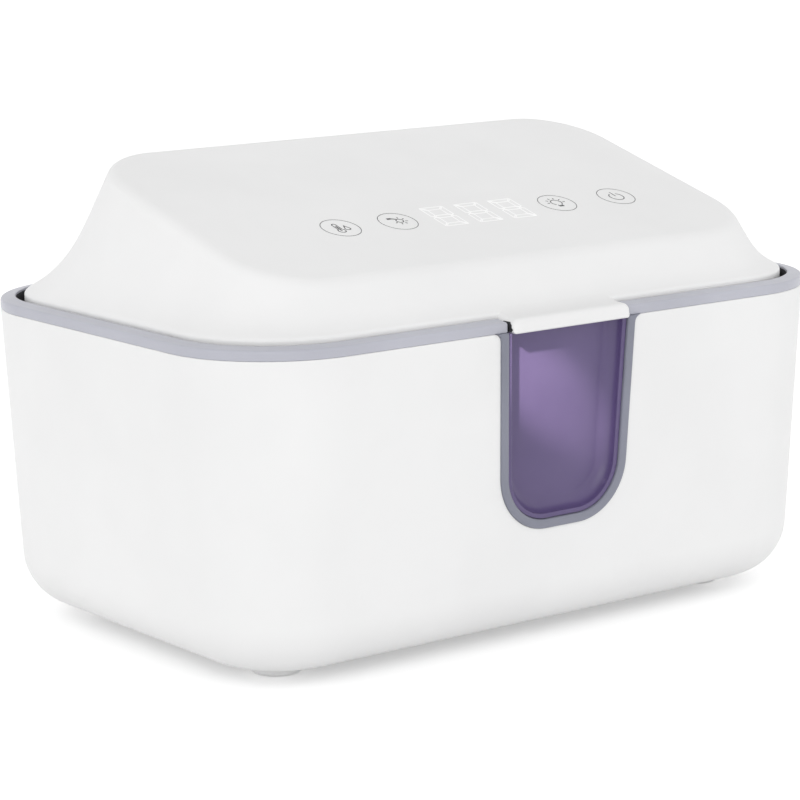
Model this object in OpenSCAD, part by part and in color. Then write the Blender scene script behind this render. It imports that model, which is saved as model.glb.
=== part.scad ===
// Warmer for a pack of baby wipes: a heated inner tank in a white housing, closed by a
// hinged lid that carries a touch panel with a three-digit display.
// Millimetres. Z is up, the front faces -Y and the warmer stands on the plane z = 0.

/* [Housing] */
// Width over the rim
body_w = 236; // [220:1:256]
// Depth over the rim
body_d = 158.4; // [152:0.1:172]
// Corner radius of the rim, seen from above
body_r = 36.2; // [32:0.1:40]
// Height of the housing, from its underside to the rim band
housing_h = 95.6; // [90:0.1:110]
// Inward slope of the housing walls in degrees
draft = 3.08; // [2:0.01:4]
// Radius between the walls and the underside
base_r = 16.7; // [13:0.1:18]
// Housing wall
wall = 2.6; // [2.2:0.1:3]

/* [Feet and base cover] */
// Height of the feet
foot_h = 4; // [3.8:0.1:6]
// Distance of the feet from the middle, along the width
foot_x = 84; // [80:0.5:88]
// Distance of the feet from the middle, along the depth
foot_y = 44; // [40:0.5:48]
// Radius of a foot where it meets the underside
foot_r = 10; // [9:0.1:11]
// Radius of the hollow curve between a foot and the underside
foot_root = 2.2; // [1.6:0.1:2.2]
// Radius of the rounded edge of a foot's tip
foot_tip = 0.8; // [0.5:0.1:1]
// Radius of a rubber foot pad
pad_r = 5; // [4:0.1:5.5]
// Thickness of a rubber foot pad
pad_t = 2; // [1.6:0.1:2.6]
// How far a pad stands out of its foot
pad_proud = 0.3; // [0.2:0.1:0.6]
// Width of the base cover
cover_w = 140; // [120:1:144]
// Depth of the base cover
cover_d = 96; // [90:1:100]
// Corner radius of the base cover
cover_r = 8; // [5:0.5:10]

/* [Rim frame] */
// Height of the rim band's outer face
band_h = 3.1; // [2.5:0.1:4]
// Width of the rim band, seen from above
band_w = 4.7; // [4:0.1:5.2]
// Rise of the rim band from its lower edge to its inner edge
band_rise = 3.8; // [3.4:0.1:4.4]
// Thickness of the ledge that carries the tank
ledge_t = 2; // [1.6:0.1:2.6]
// Length of the tongue inside the housing wall
tongue_h = 6; // [5:0.1:8]

/* [Window] */
// Width of the window frame at the rim
window_w = 52.6; // [46:0.1:60]
// Height of the window frame below the rim
window_h = 62.4; // [56:0.1:66]
// Radius of the window frame's lower corners
window_r = 18.5; // [15:0.1:20]
// Lean of the window's sides in degrees
window_lean = 2; // [0:0.1:3]
// Width of the visible window frame
frame_w = 3; // [2:0.1:3.6]
// How far the window frame stands out of the housing
frame_proud = 0.8; // [0.4:0.1:1.4]
// Depth of the finger recess in the lens, below the housing face
recess = 4.6; // [4.3:0.1:5]
// Lens wall
lens_t = 1.8; // [1.4:0.1:2]

/* [Tank] */
// Inset of the tank's outer wall from the rim's outer face
tank_inset = 14; // [13.5:0.1:18]
// Height of the tank, from its underside to the top of its flange
tank_h = 70; // [64:0.1:72]
// Tank wall
tank_wall = 2; // [1.6:0.1:2.4]
// Slope of the tank walls in degrees
tank_draft = 1.5; // [1:0.1:2]
// Radius between the tank's walls and its floor
tank_r = 10; // [6:0.1:12]
// Thickness of the tank flange
flange_t = 2; // [1.6:0.1:2.4]

/* [Lid] */
// Inset of the lid from the rim's outer face
lid_inset = 7; // [6.6:0.1:7.4]
// Lid wall
lid_wall = 2.4; // [2:0.1:2.6]
// Height of the lid's straight skirt above the rim band's lower edge
lip_up = 5; // [4.6:0.1:6]
// Height of the lid's highest line above the rim band's lower edge
lid_h = 48.4; // [44:0.1:56]
// Tilt of the control plateau in degrees
plateau_tilt = 16.05; // [12:0.05:18]
// Half width of the plateau at its rear edge
plateau_half = 98.15; // [92:0.05:100]
// Widening of the plateau's half width towards the front, per millimetre
plateau_flare = 0.0061; // [0:0.0001:0.02]
// Rear edge of the plateau behind the middle
plateau_back = 39.2; // [34:0.1:46]
// Front edge of the plateau before the middle
plateau_front = 64.6; // [60:0.1:66]
// Corner radius of the plateau
plateau_r = 25.2; // [20:0.1:28]
// Rounding of the plateau's edge
edge_r = 4.6; // [3.5:0.1:5.5]
// Half width of the lifting tab
tab_half = 22.8; // [18:0.1:22.8]
// How far the tab stands out of the rim's outer face
tab_out = 2.3; // [1:0.1:3]

/* [Hinge] */
// Hinge axis inside the rim's rear face
hinge_in = 2; // [1.6:0.1:2.4]
// Hinge axis above the rim band's lower edge
hinge_up = 8.3; // [8:0.1:9]
// Radius of the knuckles
knuckle_r = 3.6; // [3.3:0.1:3.8]
// Radius of the hinge pins
pin_r = 1.5; // [1.2:0.05:1.8]
// Middle of each pinned hinge, from the warmer's middle
hinge_x = 50; // [40:1:60]
// Width of a lid knuckle
knuckle_w = 15; // [12:0.5:20]
// Width of an ear on the rim
ear_w = 8; // [6:0.5:10]

/* [Control panel] */
// Distance of the key row down the plateau from its rear edge
keys_down = 72.7; // [66:0.1:78]
// Places of the four keys, from the middle
keys_x = [-48.3, -26.8, 36.5, 61.2];
// Middle of the display, from the middle
display_x = 4.5; // [-2:0.1:6]
// Width of the display
display_w = 44; // [38:0.5:46]
// Depth of the display
display_d = 18; // [15:0.5:20]
// Width of the control board
control_w = 156; // [146:1:164]
// Depth of the control board
control_d = 44; // [36:1:48]
// Room between the control board and the lid wall
control_gap = 4.2; // [3.6:0.1:5]

/* [Power] */
// Place of the power inlet, from the middle
inlet_x = 70; // [60:1:74]
// Height of the power inlet
inlet_z = 24; // [22.5:0.1:24.4]
// Radius of the socket in the power inlet
socket_r = 2.75; // [2.5:0.05:3]
// Width of the power board
power_w = 88; // [80:1:96]
// Depth of the power board
power_d = 54; // [46:1:60]

/* [Hidden] */
$fn = 48;

// Clearances
fit = 0.1;        // between parts that are pushed together
run = 0.05;       // round a shaft that turns
hold = 0.02;      // round a pin that is held
gap = 0.3;        // between the lid and what it passes
sink = 0.1;       // how far a part on a board reaches into it, to join it
cut = 1;          // how far a cutting shape reaches past the surface it cuts
clear = 3;        // how far a window's cutting shape reaches past the front wall
overlap = 0.5;    // how far a foot or a boss reaches into the wall that it grows from
hole_room = 0.3;  // round a screw that passes through a part

// Finishes
white = [0.94, 0.94, 0.94];
lavender = [0.70, 0.71, 0.77];
violet = [0.46, 0.41, 0.59, 0.8];
pearl = [0.88, 0.88, 0.90];
steel = [0.72, 0.73, 0.75];
metal = [0.80, 0.81, 0.83];
rubber = [0.78, 0.78, 0.80];
board = [0.10, 0.38, 0.22];
black = [0.12, 0.12, 0.13];
amber = [0.75, 0.45, 0.12];
foam = [0.86, 0.86, 0.84];

// Steps of the curved surfaces
corner_steps = 12;
round_steps = 7;
flank_steps = 10;

// Levels of the base
half_w = body_w/2;
half_d = body_d/2;
rim_z = foot_h + housing_h;
floor_z = foot_h + wall;
cover_t = wall;

// Rim, measured inwards from its outer face and up from its lower edge
band_edge = 0.9;
ledge_drop = 1.6;
tank_top = rim_z - ledge_drop + flange_t;
ledge_in = tank_inset - 0.5;
flange_in = lid_inset + lid_wall + fit;
seat_in = wall + 0.2;
tongue_in = wall + 0.6;
tongue_t = 1.8;

// Tank
tank_z = tank_top - tank_h;
gasket_w = 3;
gasket_in = flange_in + 1.5;

// Window frame and lens, measured from the housing face
window_flare = 2.5;
frame_back = recess + lens_t + 1;
lens_lip = 1.7;
lens_seat = wall + 0.3;
lens_rim_t = 1.5;
lens_edge = 0.2;
lens_top = -0.7;
lens_flange_t = 1.6;
trim_flange = 1.6;
led_t = 1.4;
led_w = 3.6;
led_h = 2.8;
led_x = [-9, 0, 9];
led_z = [-20, -38];
light_board_t = 1.2;
light_board_in = recess + lens_t + led_t + 0.4;
light_board_w = 34;
light_board_low = 50;
light_board_high = 8;
peg_r = 1.2;
pegs = [[-14, -13], [14, -13], [-8, -46], [8, -46]];

// Lid
lip_z = rim_z + lip_up;
plateau_z = rim_z + lid_h;
skirt_z = rim_z + 1.4;
liner_t = 2;
liner_z = lip_z - lid_wall/2 - liner_t;
liner_in = lid_inset + lid_wall + 0.3;
liner_boss_h = 1.4;
liner_boss_r = 5;
groove = 1;
lid_boss_r = 4;
lid_screw_x = 84;
lid_screw_y = 44;
tab_low = rim_z - 0.4;
tab_high = rim_z + 4.6;
tab_edge = 2.2;
tab_r = 2;

// Hinge
hinge_y = half_d - hinge_in;
hinge_z = rim_z + hinge_up;

// Wiring through the hinge
wire_r = 1.1;
wire_hole = 1.55;
axis_hole = 1.9;
axis_past = 2.2;
duct_x = 8;
duct_w = 12;

// Heater under the tank
plate_t = 1.5;
film_t = 0.5;
pad_foam_t = 5;
heater_side = 33;
heater_front = 31.2;
heater_w = body_w - 2*heater_side;
heater_d = body_d - 2*heater_front;
heater_edge = 5;
heater_r = 12;
film_r = 9;
film_z = tank_z - plate_t - film_t;
foam_z = film_z - pad_foam_t;
sensor_x = 32;
sensor = [6, 3, 1.2];
sensor_slot = [8, 6, 2.4];
sensor_bulb_r = 1.4;
sensor_bulb_h = 2.2;
fuse_x = -32;
fuse_r = 2;
fuse_l = 12;
lead_x = 34;
lead_y = -16;
lead_r = 0.8;
light_lead_x = 6;

// Boards and screws
board_t = 1.6;
standoff_h = 4;
standoff_r = 3.2;
power_z = floor_z + standoff_h;
plug_z = power_z + board_t + 2;
screw_r = 1.2;
screw_head_r = 2.8;
screw_head_h = 1.3;
slot_l = 3;
slot_w = 0.6;
slot_h = 0.7;
cover_screw_l = 10;
board_screw_l = 6;
lid_screw_l = 9;
control_screw_l = 4.6;
vent_w = 2;
vent_l = 26;
vent_pitch = 8;
vents_aside = 3;
cover_boss_r = 4.2;
cover_boss_h = 12;
cover_boss_arm = 13;
cover_boss_roof = 3;
cover_screw_x = cover_w/2 - 7;
cover_screw_y = cover_d/2 - 7;
power_hole_x = power_w/2 - 5;
power_hole_y = power_d/2 - 5;
plug_w = 8;
plug_d = 6;
plug_h = 4;
plug_edge = 1;
inlet_plug_x = 26;
front_plug_w = 14;
front_plug_x = 2;
front_plug_y = -20;
can_x = [-26, -14];
can_y = 8;
can_r = 4;
can_h = 7.5;
coil_at = [-4, 2];
coil = [16, 12, 6];
chip_at = [-24, -16];
control_y = -keys_down;
control_z = -lid_wall - control_gap;
control_hole_x = control_w/2 - 12;
control_hole_y = control_d/2 - 5;
control_boss_r = 3;
control_part_x = [-64, -36, 30, 70];
control_part_y = 8;
control_part = [3.2, 1.6, 1.2];
digit_w = 10;
digit_d = 14;
digit_pitch = 14;
spring_r = 3.2;
spring_wall = 0.7;
spring_floor = 0.6;
chip = [10, 10, 1.6];
buzzer_x = 40;
buzzer_r = 6;
buzzer_h = 4.5;
control_plug_y = control_d/2 - plug_d - 2;

// Power inlet
inlet_seat = 8;
inlet_nose_r = 4.6;
inlet_boss_r = inlet_nose_r + 2.4;
inlet_body = 11;
inlet_l = 12;
socket_l = 9.5;
contact_r = 0.98;
contact_tail = 2;

// How far the housing wall stands inside the rim's outer face at height z
function wall_in(z) = (rim_z - z)*tan(draft);

// A rounded rectangle as a ring of points, anticlockwise from +X. Its sides may taper
// from the half width front_half at y = front to back_half at y = back.
function outline(front_half, back_half, front, back, r, steps = corner_steps) = [
    for (q = [0:3], i = [0:steps])
        let (
            a = 90*(q + i/steps),
            side = (q == 0 || q == 3) ? 1 : -1,
            rear = q < 2,
            half = rear ? back_half : front_half,
            y = rear ? back - r : front + r
        )
        [side*(half - r) + r*cos(a), y + r*sin(a)]
];

// The rim's outline, moved inwards by t and placed at height z
function ring(t, z) = [
    for (p = outline(half_w - t, half_w - t, t - half_d, half_d - t, max(body_r - t, 2)))
        [p[0], p[1], z]
];

// A solid skin through rings of points; wound keeps the last ring joined to the first
module loft(rings, wound = false) {
    n = len(rings[0]);
    m = len(rings);
    sides = [
        for (k = [0:(wound ? m - 1 : m - 2)], i = [0:n - 1])
            let (
                a = k*n + i,
                b = k*n + (i + 1)%n,
                c = ((k + 1)%m)*n + (i + 1)%n,
                d = ((k + 1)%m)*n + i
            )
            each [[a, d, c], [a, c, b]]
    ];
    caps = wound ? [] : [[for (i = [0:n - 1]) i], [for (i = [1:n]) m*n - i]];
    polyhedron(points = [for (r = rings) each r], faces = concat(sides, caps));
}

function unit(v) = v/norm(v);

// A path with its corners rounded off, starting the bend "reach" before each corner
function rounded(path, reach) = [
    for (i = [0:len(path) - 1])
        each (i == 0 || i == len(path) - 1) ? [path[i]] :
            let (
                p = path[i],
                a = p + reach*unit(path[i - 1] - p),
                b = p + reach*unit(path[i + 1] - p)
            )
            [for (s = [0:0.25:1]) (1 - s)*(1 - s)*a + 2*s*(1 - s)*p + s*s*b]
];

// A round wire along a path; side is any direction that the path never runs along
module wire(path, r, side = [0.35, 0.2, 0.9]) {
    last = len(path) - 1;
    loft([
        for (i = [0:last])
            let (
                t = unit(path[min(i + 1, last)] - path[max(i - 1, 0)]),
                u = unit(cross(t, side)),
                v = cross(t, u)
            )
            [for (a = [0:45:315]) path[i] + r*(cos(a)*u + sin(a)*v)]
    ]);
}

// A plate with round corners, standing on z = 0
module plate(w, d, r, h) {
    linear_extrude(h) polygon(outline(w/2, w/2, -d/2, d/2, r));
}

// The plate between the rim outline moved in by t and height h
module rim_plate(t, h) {
    plate(body_w - 2*t, body_d - 2*t, body_r - t, h);
}

module at_corners(x, y) {
    for (sx = [-1, 1], sy = [-1, 1]) translate([sx*x, sy*y, 0]) children();
}

// A pan-head screw with its head's underside at z = 0 and its shank pointing up
module screw(l) {
    difference() {
        union() {
            cylinder(r = screw_r, h = l);
            translate([0, 0, -screw_head_h]) cylinder(r = screw_head_r, h = screw_head_h);
        }
        for (a = [0, 90])
            rotate([0, 0, a])
                translate([-slot_l/2, -slot_w/2, -screw_head_h - cut])
                    cube([slot_l, slot_w, cut + slot_h]);
    }
}

// Frame of the front wall: X across, Y into the warmer, Z up the sloping face from the rim
module on_front() {
    translate([0, -half_d, rim_z]) rotate([draft, 0, 0]) children();
}

// A flat shape in X and Z, from depth d0 to depth d1
module depth(d0, d1) {
    translate([0, d1, 0]) rotate([90, 0, 0]) linear_extrude(d1 - d0) children();
}

// A shape in Y and Z, from x0 to x1
module across(x0, x1) {
    translate([x0, 0, 0]) rotate([90, 0, 90]) linear_extrude(x1 - x0) children();
}

// A cylinder along X at the hinge axis
module on_axis(x0, x1, r) {
    translate([x0, hinge_y, hinge_z]) rotate([0, 90, 0]) cylinder(r = r, h = x1 - x0);
}

// Right edge of the window moved in by "in", from the height "high" down: an optional
// flare into the rim, a leaning side and a round corner
function window_side(in, high, flare) =
    let (
        half = window_w/2 - in,
        r = window_r - in,
        low = in - window_h,
        lean = window_lean,
        x = half - r*cos(lean) - (r*sin(lean) - low - r)*tan(lean)
    )
    concat(
        flare == 0 ? [[half + high*tan(lean), high]] : concat(
            high > 0 ? [[half + flare, high]] : [],
            [for (a = [90:22.5:180]) flare*[1 + cos(a), sin(a) - 1] + [half, 0]]
        ),
        [
            for (i = [0:corner_steps])
                let (a = -lean - i*(90 - lean)/corner_steps)
                [x + r*cos(a), low + r + r*sin(a)]
        ]
    );

// The window's whole outline
module window_shape(in, high, flare = 0) {
    side = window_side(in, high, flare);
    last = len(side) - 1;
    polygon(concat(side, [for (i = [0:last]) [-side[last - i][0], side[last - i][1]]]));
}

// ---------------------------------------------------------------- base

// Outside of the housing as pairs of inset and height, then its inside
housing_profile = concat(
    [
        for (i = [0:round_steps])
            let (a = 90 - 90*i/round_steps, z = foot_h + base_r*(1 - sin(a)))
            [wall_in(z) + base_r*(1 - cos(a)), z]
    ],
    [[0, rim_z], [wall, rim_z]],
    [
        for (i = [0:round_steps])
            let (a = 90*i/round_steps, r = base_r - wall, z = floor_z + r*(1 - sin(a)))
            [wall_in(z) + wall + r*(1 - cos(a)), z]
    ]
);

// A foot: a flat tip, a rounded edge and a hollow curve into the underside
module foot() {
    neck = foot_r - foot_root;
    rotate_extrude()
        polygon(concat(
            [[0, floor_z - overlap], [0, pad_proud], [neck - foot_tip, pad_proud]],
            [
                for (a = [-70:20:0])
                    [neck - foot_tip*(1 - cos(a)), pad_proud + foot_tip*(1 + sin(a))]
            ],
            [
                for (a = [180:-18:90])
                    [foot_r + foot_root*cos(a), foot_h - foot_root*(1 - sin(a))]
            ],
            [[foot_r, foot_h + overlap], [neck, floor_z - overlap]]
        ));
}

module cover_boss() {
    block = cover_boss_arm + cover_boss_r;
    translate([0, 0, floor_z - overlap]) cylinder(r = cover_boss_r, h = cover_boss_h);
    translate([-cover_boss_r, -cover_boss_r, floor_z - overlap])
        cube([block, block, cover_boss_h/2]);
}

module outer_housing() color(white) difference() {
    union() {
        loft([for (p = housing_profile) ring(p[0], p[1])]);
        at_corners(foot_x, foot_y) foot();
        for (a = [0, 1], b = [0, 1])
            mirror([a, 0, 0]) mirror([0, b, 0])
                translate([cover_screw_x, cover_screw_y, 0]) cover_boss();
        translate([inlet_x, half_d - inlet_seat, inlet_z])
            rotate([-90, 0, 0])
                cylinder(r = inlet_boss_r, h = inlet_seat - wall_in(inlet_z) - 2*overlap);
    }
    translate([0, 0, -cut]) plate(cover_w, cover_d, cover_r, floor_z + cut);
    at_corners(cover_screw_x, cover_screw_y)
        translate([0, 0, floor_z - cut])
            cylinder(r = screw_r + run, h = cover_boss_h - cover_boss_roof + cut);
    at_corners(foot_x, foot_y)
        translate([0, 0, pad_proud - cut]) cylinder(r = pad_r + fit, h = pad_t - pad_proud + cut);
    on_front() depth(-clear, wall + clear) window_shape(0, cut, window_flare);
    translate([inlet_x, half_d - inlet_seat - cut, inlet_z])
        rotate([-90, 0, 0]) cylinder(r = inlet_nose_r + fit, h = inlet_seat + 2*cut);
}

module vent() {
    square([vent_w, vent_l], center = true);
    for (s = [-1, 1]) translate([0, s*vent_l/2]) circle(r = vent_w/2);
}

module base_cover() color(white) difference() {
    union() {
        translate([0, 0, foot_h])
            plate(cover_w - 2*fit, cover_d - 2*fit, cover_r - fit, cover_t);
        at_corners(power_hole_x, power_hole_y)
            translate([0, 0, floor_z - overlap])
                cylinder(r = standoff_r, h = standoff_h + overlap);
    }
    at_corners(cover_screw_x, cover_screw_y) {
        translate([0, 0, foot_h - cut]) cylinder(r = screw_r + hole_room, h = cover_t + 2*cut);
        translate([0, 0, foot_h - cut])
            cylinder(r = screw_head_r + hole_room, h = screw_head_h + fit + cut);
    }
    at_corners(power_hole_x, power_hole_y)
        translate([0, 0, foot_h + cover_t/2])
            cylinder(r = screw_r + run, h = standoff_h + cover_t);
    for (i = [-vents_aside:vents_aside])
        translate([i*vent_pitch, 0, foot_h - cut]) linear_extrude(cover_t + 2*cut) vent();
}

module cover_screws() color(steel)
    at_corners(cover_screw_x, cover_screw_y)
        translate([0, 0, foot_h + screw_head_h + fit]) screw(cover_screw_l);

module foot_pads() color(rubber)
    at_corners(foot_x, foot_y) cylinder(r = pad_r, h = pad_t);

// The rim band and its ledge as pairs of inset and height above the rim's lower edge
rim_profile = concat(
    [[0, 0]],
    [
        for (a = [180:-27:99])
            [band_edge*(1 + cos(a)), band_h - band_edge*(1 - sin(a))]
    ],
    [
        [band_w - 0.4, band_rise], [band_w, band_rise - 0.4], [band_w, -ledge_drop],
        [ledge_in, -ledge_drop], [ledge_in, -ledge_drop - ledge_t],
        [tongue_in + tongue_t, -ledge_drop - ledge_t], [tongue_in + tongue_t, -tongue_h],
        [tongue_in, -tongue_h], [seat_in, 0]
    ]
);

// An ear on the rim, from its foot in the rim band to the hinge axis
module ear(x0, x1) {
    across(x0, x1) {
        translate([hinge_y, hinge_z]) circle(r = knuckle_r);
        translate([hinge_y - 3, rim_z + 1]) square([3 + hinge_in, hinge_up - 1]);
    }
}

ear_in = knuckle_w/2 + gap;

// The sloping duct that takes the wires from inside the rear wall up to the hinge axis
duct_foot = [-duct_x, half_d - wall - 3.2, rim_z - tongue_h - 2];
duct_top = [-duct_x, hinge_y, hinge_z];

module duct(from, to, r) {
    way = to - from;
    translate(from)
        rotate([0, acos(way[2]/norm(way)), atan2(way[1], way[0])])
            cylinder(r = r, h = norm(way));
}

module rim_frame() color(lavender) difference() {
    union() {
        loft([for (p = rim_profile) ring(p[0], rim_z + p[1])], wound = true);
        for (s = [-1, 1]) {
            ear(s*hinge_x + ear_in, s*hinge_x + ear_in + ear_w);
            ear(s*hinge_x - ear_in - ear_w, s*hinge_x - ear_in);
        }
        ear(-duct_x - ear_w/2, -duct_x + ear_w/2);
    }
    on_front() {
        depth(wall, frame_back + fit)
            translate([-window_w/2 - clear, -tongue_h - clear])
                square([window_w + 2*clear, tongue_h + clear]);
        depth(-clear, frame_back + fit) window_shape(frame_w, 2*band_rise);
    }
    for (s = [-1, 1])
        on_axis(s*hinge_x - ear_in - ear_w - cut, s*hinge_x + ear_in + ear_w + cut, pin_r + hold);
    on_axis(-duct_x - axis_past, 0, axis_hole);
    duct(duct_foot, duct_top, wire_hole);
}

// The trim round the window: a face that stands proud, and a flange behind the wall
module window_trim() color(lavender) on_front() difference() {
    union() {
        depth(-frame_proud, lens_seat)
            translate([0, -fit]) window_shape(fit, 0, window_flare);
        depth(wall + fit, frame_back) window_shape(-trim_flange, -2*fit);
    }
    depth(lens_seat, frame_back + cut) window_shape(frame_w - lens_lip - fit, cut);
    depth(-clear, lens_seat + cut) window_shape(frame_w, cut);
}

module window_lens() color(violet) on_front() {
    difference() {
        union() {
            depth(lens_edge, recess + lens_t) window_shape(frame_w + fit, lens_top);
            depth(lens_seat, lens_seat + lens_flange_t)
                window_shape(frame_w - lens_lip, lens_top);
            for (p = pegs) translate([p[0], 0, p[1]])
                depth(recess, light_board_in + light_board_t + 0.4) circle(r = peg_r);
        }
        depth(-cut, recess) window_shape(frame_w + lens_rim_t, cut);
    }
}

module night_light_board() color(board) on_front() {
    back = light_board_in + light_board_t;
    difference() {
        depth(light_board_in, back)
            translate([-light_board_w/2, -light_board_low])
                square([light_board_w, light_board_low - light_board_high]);
        for (p = pegs) translate([p[0], 0, p[1]])
            depth(light_board_in - cut, back + cut) circle(r = peg_r + fit);
    }
    for (x = led_x, z = led_z)
        depth(light_board_in - led_t, light_board_in + sink)
            translate([x - led_w/2, z - led_h/2]) square([led_w, led_h]);
}

// Outside of the tank from its floor to its flange, then its inside
tank_profile = concat(
    [
        for (i = [0:round_steps])
            let (a = 90 - 90*i/round_steps, z = tank_z + tank_r*(1 - sin(a)))
            [tank_inset + (tank_top - z)*tan(tank_draft) + tank_r*(1 - cos(a)), z]
    ],
    [
        [tank_inset + flange_t*tan(tank_draft), tank_top - flange_t],
        [flange_in, tank_top - flange_t], [flange_in, tank_top],
        [tank_inset + tank_wall, tank_top]
    ],
    [
        for (i = [0:round_steps])
            let (
                a = 90*i/round_steps,
                r = tank_r - tank_wall,
                z = tank_z + tank_wall + r*(1 - sin(a))
            )
            [tank_inset + tank_wall + (tank_top - z)*tan(tank_draft) + r*(1 - cos(a)), z]
    ]
);

module container() color(pearl) loft([for (p = tank_profile) ring(p[0], p[1])]);

module heater_plate() color(metal)
    translate([0, 0, tank_z - plate_t]) plate(heater_w, heater_d, heater_r, plate_t);

module heating_film() color(amber)
    translate([0, 0, film_z])
        plate(heater_w - 2*heater_edge, heater_d - 2*heater_edge, film_r, film_t);

module insulation_pad() color(foam) difference() {
    translate([0, 0, foam_z]) plate(heater_w, heater_d, heater_r, pad_foam_t);
    translate([sensor_x - sensor_slot[0]/2, -sensor_slot[1]/2, film_z - sensor_slot[2]])
        cube(sensor_slot + [0, 0, cut]);
    translate([fuse_x - fuse_l/2 - 1, -fuse_r - fit, film_z - 2*fuse_r - fit])
        cube([fuse_l + 2, 2*fuse_r + 2*fit, 2*fuse_r + cut]);
    for (y = [-2, 2]) translate([lead_x, lead_y + y, foam_z - cut])
        cylinder(r = lead_r + 0.4, h = pad_foam_t + 2*cut);
}

module thermistor() color(black) translate([sensor_x, 0, film_z]) {
    translate([-sensor[0]/2, -sensor[1]/2, -sensor[2]]) cube(sensor);
    translate([0, 0, -sensor_bulb_h]) cylinder(r = sensor_bulb_r, h = sensor_bulb_h - sensor[2]/2);
}

module thermal_fuse() color(steel) translate([fuse_x, 0, film_z - fuse_r])
    rotate([0, 90, 0]) {
        cylinder(r = fuse_r, h = fuse_l - 2, center = true);
        cylinder(r = 0.5, h = fuse_l, center = true);
    }

module power_board() color(board) {
    top = power_z + board_t;
    difference() {
        translate([-power_w/2, -power_d/2, power_z]) cube([power_w, power_d, board_t]);
        at_corners(power_hole_x, power_hole_y)
            translate([0, 0, power_z - cut])
                cylinder(r = screw_r + hole_room, h = board_t + 2*cut);
    }
    translate([0, 0, top - sink]) {
        for (x = can_x) translate([x, can_y]) cylinder(r = can_r, h = can_h + sink);
        translate(coil_at) cube(coil + [0, 0, sink]);
        translate(chip_at) cube(chip + [0, 0, sink]);
        translate([front_plug_x, front_plug_y]) cube([front_plug_w, plug_d, plug_h + sink]);
        for (x = [inlet_plug_x, -duct_x])
            translate([x - plug_w/2, power_d/2 - plug_edge - plug_d])
                cube([plug_w, plug_d, plug_h + sink]);
    }
}

module board_screws() color(steel)
    at_corners(power_hole_x, power_hole_y)
        translate([0, 0, power_z + board_t]) mirror([0, 0, 1]) screw(board_screw_l);

// Frame of the inlet: Z points out of the rear wall from the boss that the inlet sits on
module at_inlet() {
    translate([inlet_x, half_d - inlet_seat, inlet_z]) rotate([-90, 0, 0]) children();
}

inlet_nose = inlet_seat - wall_in(inlet_z) - 0.6;

module power_inlet() color(black) at_inlet() difference() {
    union() {
        translate([-inlet_body/2, -inlet_body/2, -inlet_l])
            cube([inlet_body, inlet_body, inlet_l]);
        cylinder(r = inlet_nose_r, h = inlet_nose);
    }
    translate([0, 0, inlet_nose - socket_l]) cylinder(r = socket_r, h = socket_l + cut);
    translate([0, 0, -inlet_l - cut]) cylinder(r = contact_r + hold, h = inlet_l + cut);
}

module inlet_contacts() color(metal) at_inlet() {
    translate([0, 0, -inlet_l - contact_tail])
        cylinder(r = contact_r, h = inlet_l + contact_tail + inlet_nose - 1.5);
}

module inlet_leads() color(black) {
    from = half_d - inlet_seat - inlet_l - contact_tail - fit;
    wire(rounded([
        [inlet_x, from, inlet_z],
        [inlet_x, from - 6, inlet_z],
        [cover_screw_x - 9, cover_screw_y + 7, plug_z + 5],
        [cover_screw_x - 20, power_d/2 + 9, plug_z + 1],
        [inlet_plug_x, power_d/2 + 6, plug_z],
        [inlet_plug_x, power_d/2 - plug_edge + fit, plug_z]
    ], 2.5), lead_r);
}

module heater_leads() color(black)
    for (y = [-2, 2])
        wire(rounded([
            [lead_x, lead_y + y, film_z],
            [lead_x, lead_y + y, foam_z - 3],
            [front_plug_x + front_plug_w + 8, lead_y + y/2, plug_z],
            [front_plug_x + front_plug_w + fit, lead_y + y/2, plug_z]
        ], 2), lead_r);

module light_lead() color(black) {
    back = light_board_in + light_board_t/2;
    foot = [
        light_lead_x,
        -half_d + back*cos(draft) + light_board_low*sin(draft),
        rim_z + back*sin(draft) - light_board_low*cos(draft)
    ];
    wire(rounded([
        foot,
        [light_lead_x, foot[1] + 0.6, tank_z + 2],
        [light_lead_x, foot[1] + 9, foam_z - 5],
        [light_lead_x, front_plug_y - 6, plug_z],
        [light_lead_x, front_plug_y - fit, plug_z]
    ], 3), lead_r);
}

module base_harness() color(black)
    wire(concat(
        rounded([
            [-duct_x, power_d/2 - plug_edge + fit, plug_z],
            [-duct_x, power_d/2 + 8, plug_z],
            [-duct_x, half_d - wall - wall_in(foam_z) - 4, foam_z],
            duct_foot,
            duct_foot + 0.5*(duct_top - duct_foot)
        ], 3),
        rounded([
            duct_foot + 0.7*(duct_top - duct_foot),
            duct_top,
            [-duct_x + ear_w/2 + gap/2, hinge_y, hinge_z]
        ], 2)
    ), wire_r, [0.3, 0.95, 0.1]);

// Pins that carry the lid, one in each pinned hinge
module hinge_pins() color(steel)
    for (s = [-1, 1])
        on_axis(s*hinge_x - ear_in - ear_w + 0.4, s*hinge_x + ear_in + ear_w - 0.4, pin_r);

// ---------------------------------------------------------------- lid

// A cubic curve from 0 to 1 with the two inner handles a and b
function curve(s, a, b) = 3*(1 - s)*(1 - s)*s*a + 3*(1 - s)*s*s*b + s*s*s;

// The flank's run inwards and its rise, both from 0 at the skirt to 1 at the plateau
function flank_in(s) = curve(s, 0.5385, 0.6499);
function flank_up(s) = curve(s, 0.2367, 0.5031);

// Height of the plateau's surface above y, offset into the lid by t
function plateau_level(y, t) =
    plateau_z - t/cos(plateau_tilt) - (plateau_back - y)*tan(plateau_tilt);

// The plateau's outline moved in by t, counted as the lid's other rings are
function plateau_ring(t) =
    outline(
        plateau_half + plateau_flare*(plateau_back + plateau_front) - t,
        plateau_half - t, t - plateau_front, plateau_back - t, plateau_r - t
    );

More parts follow.
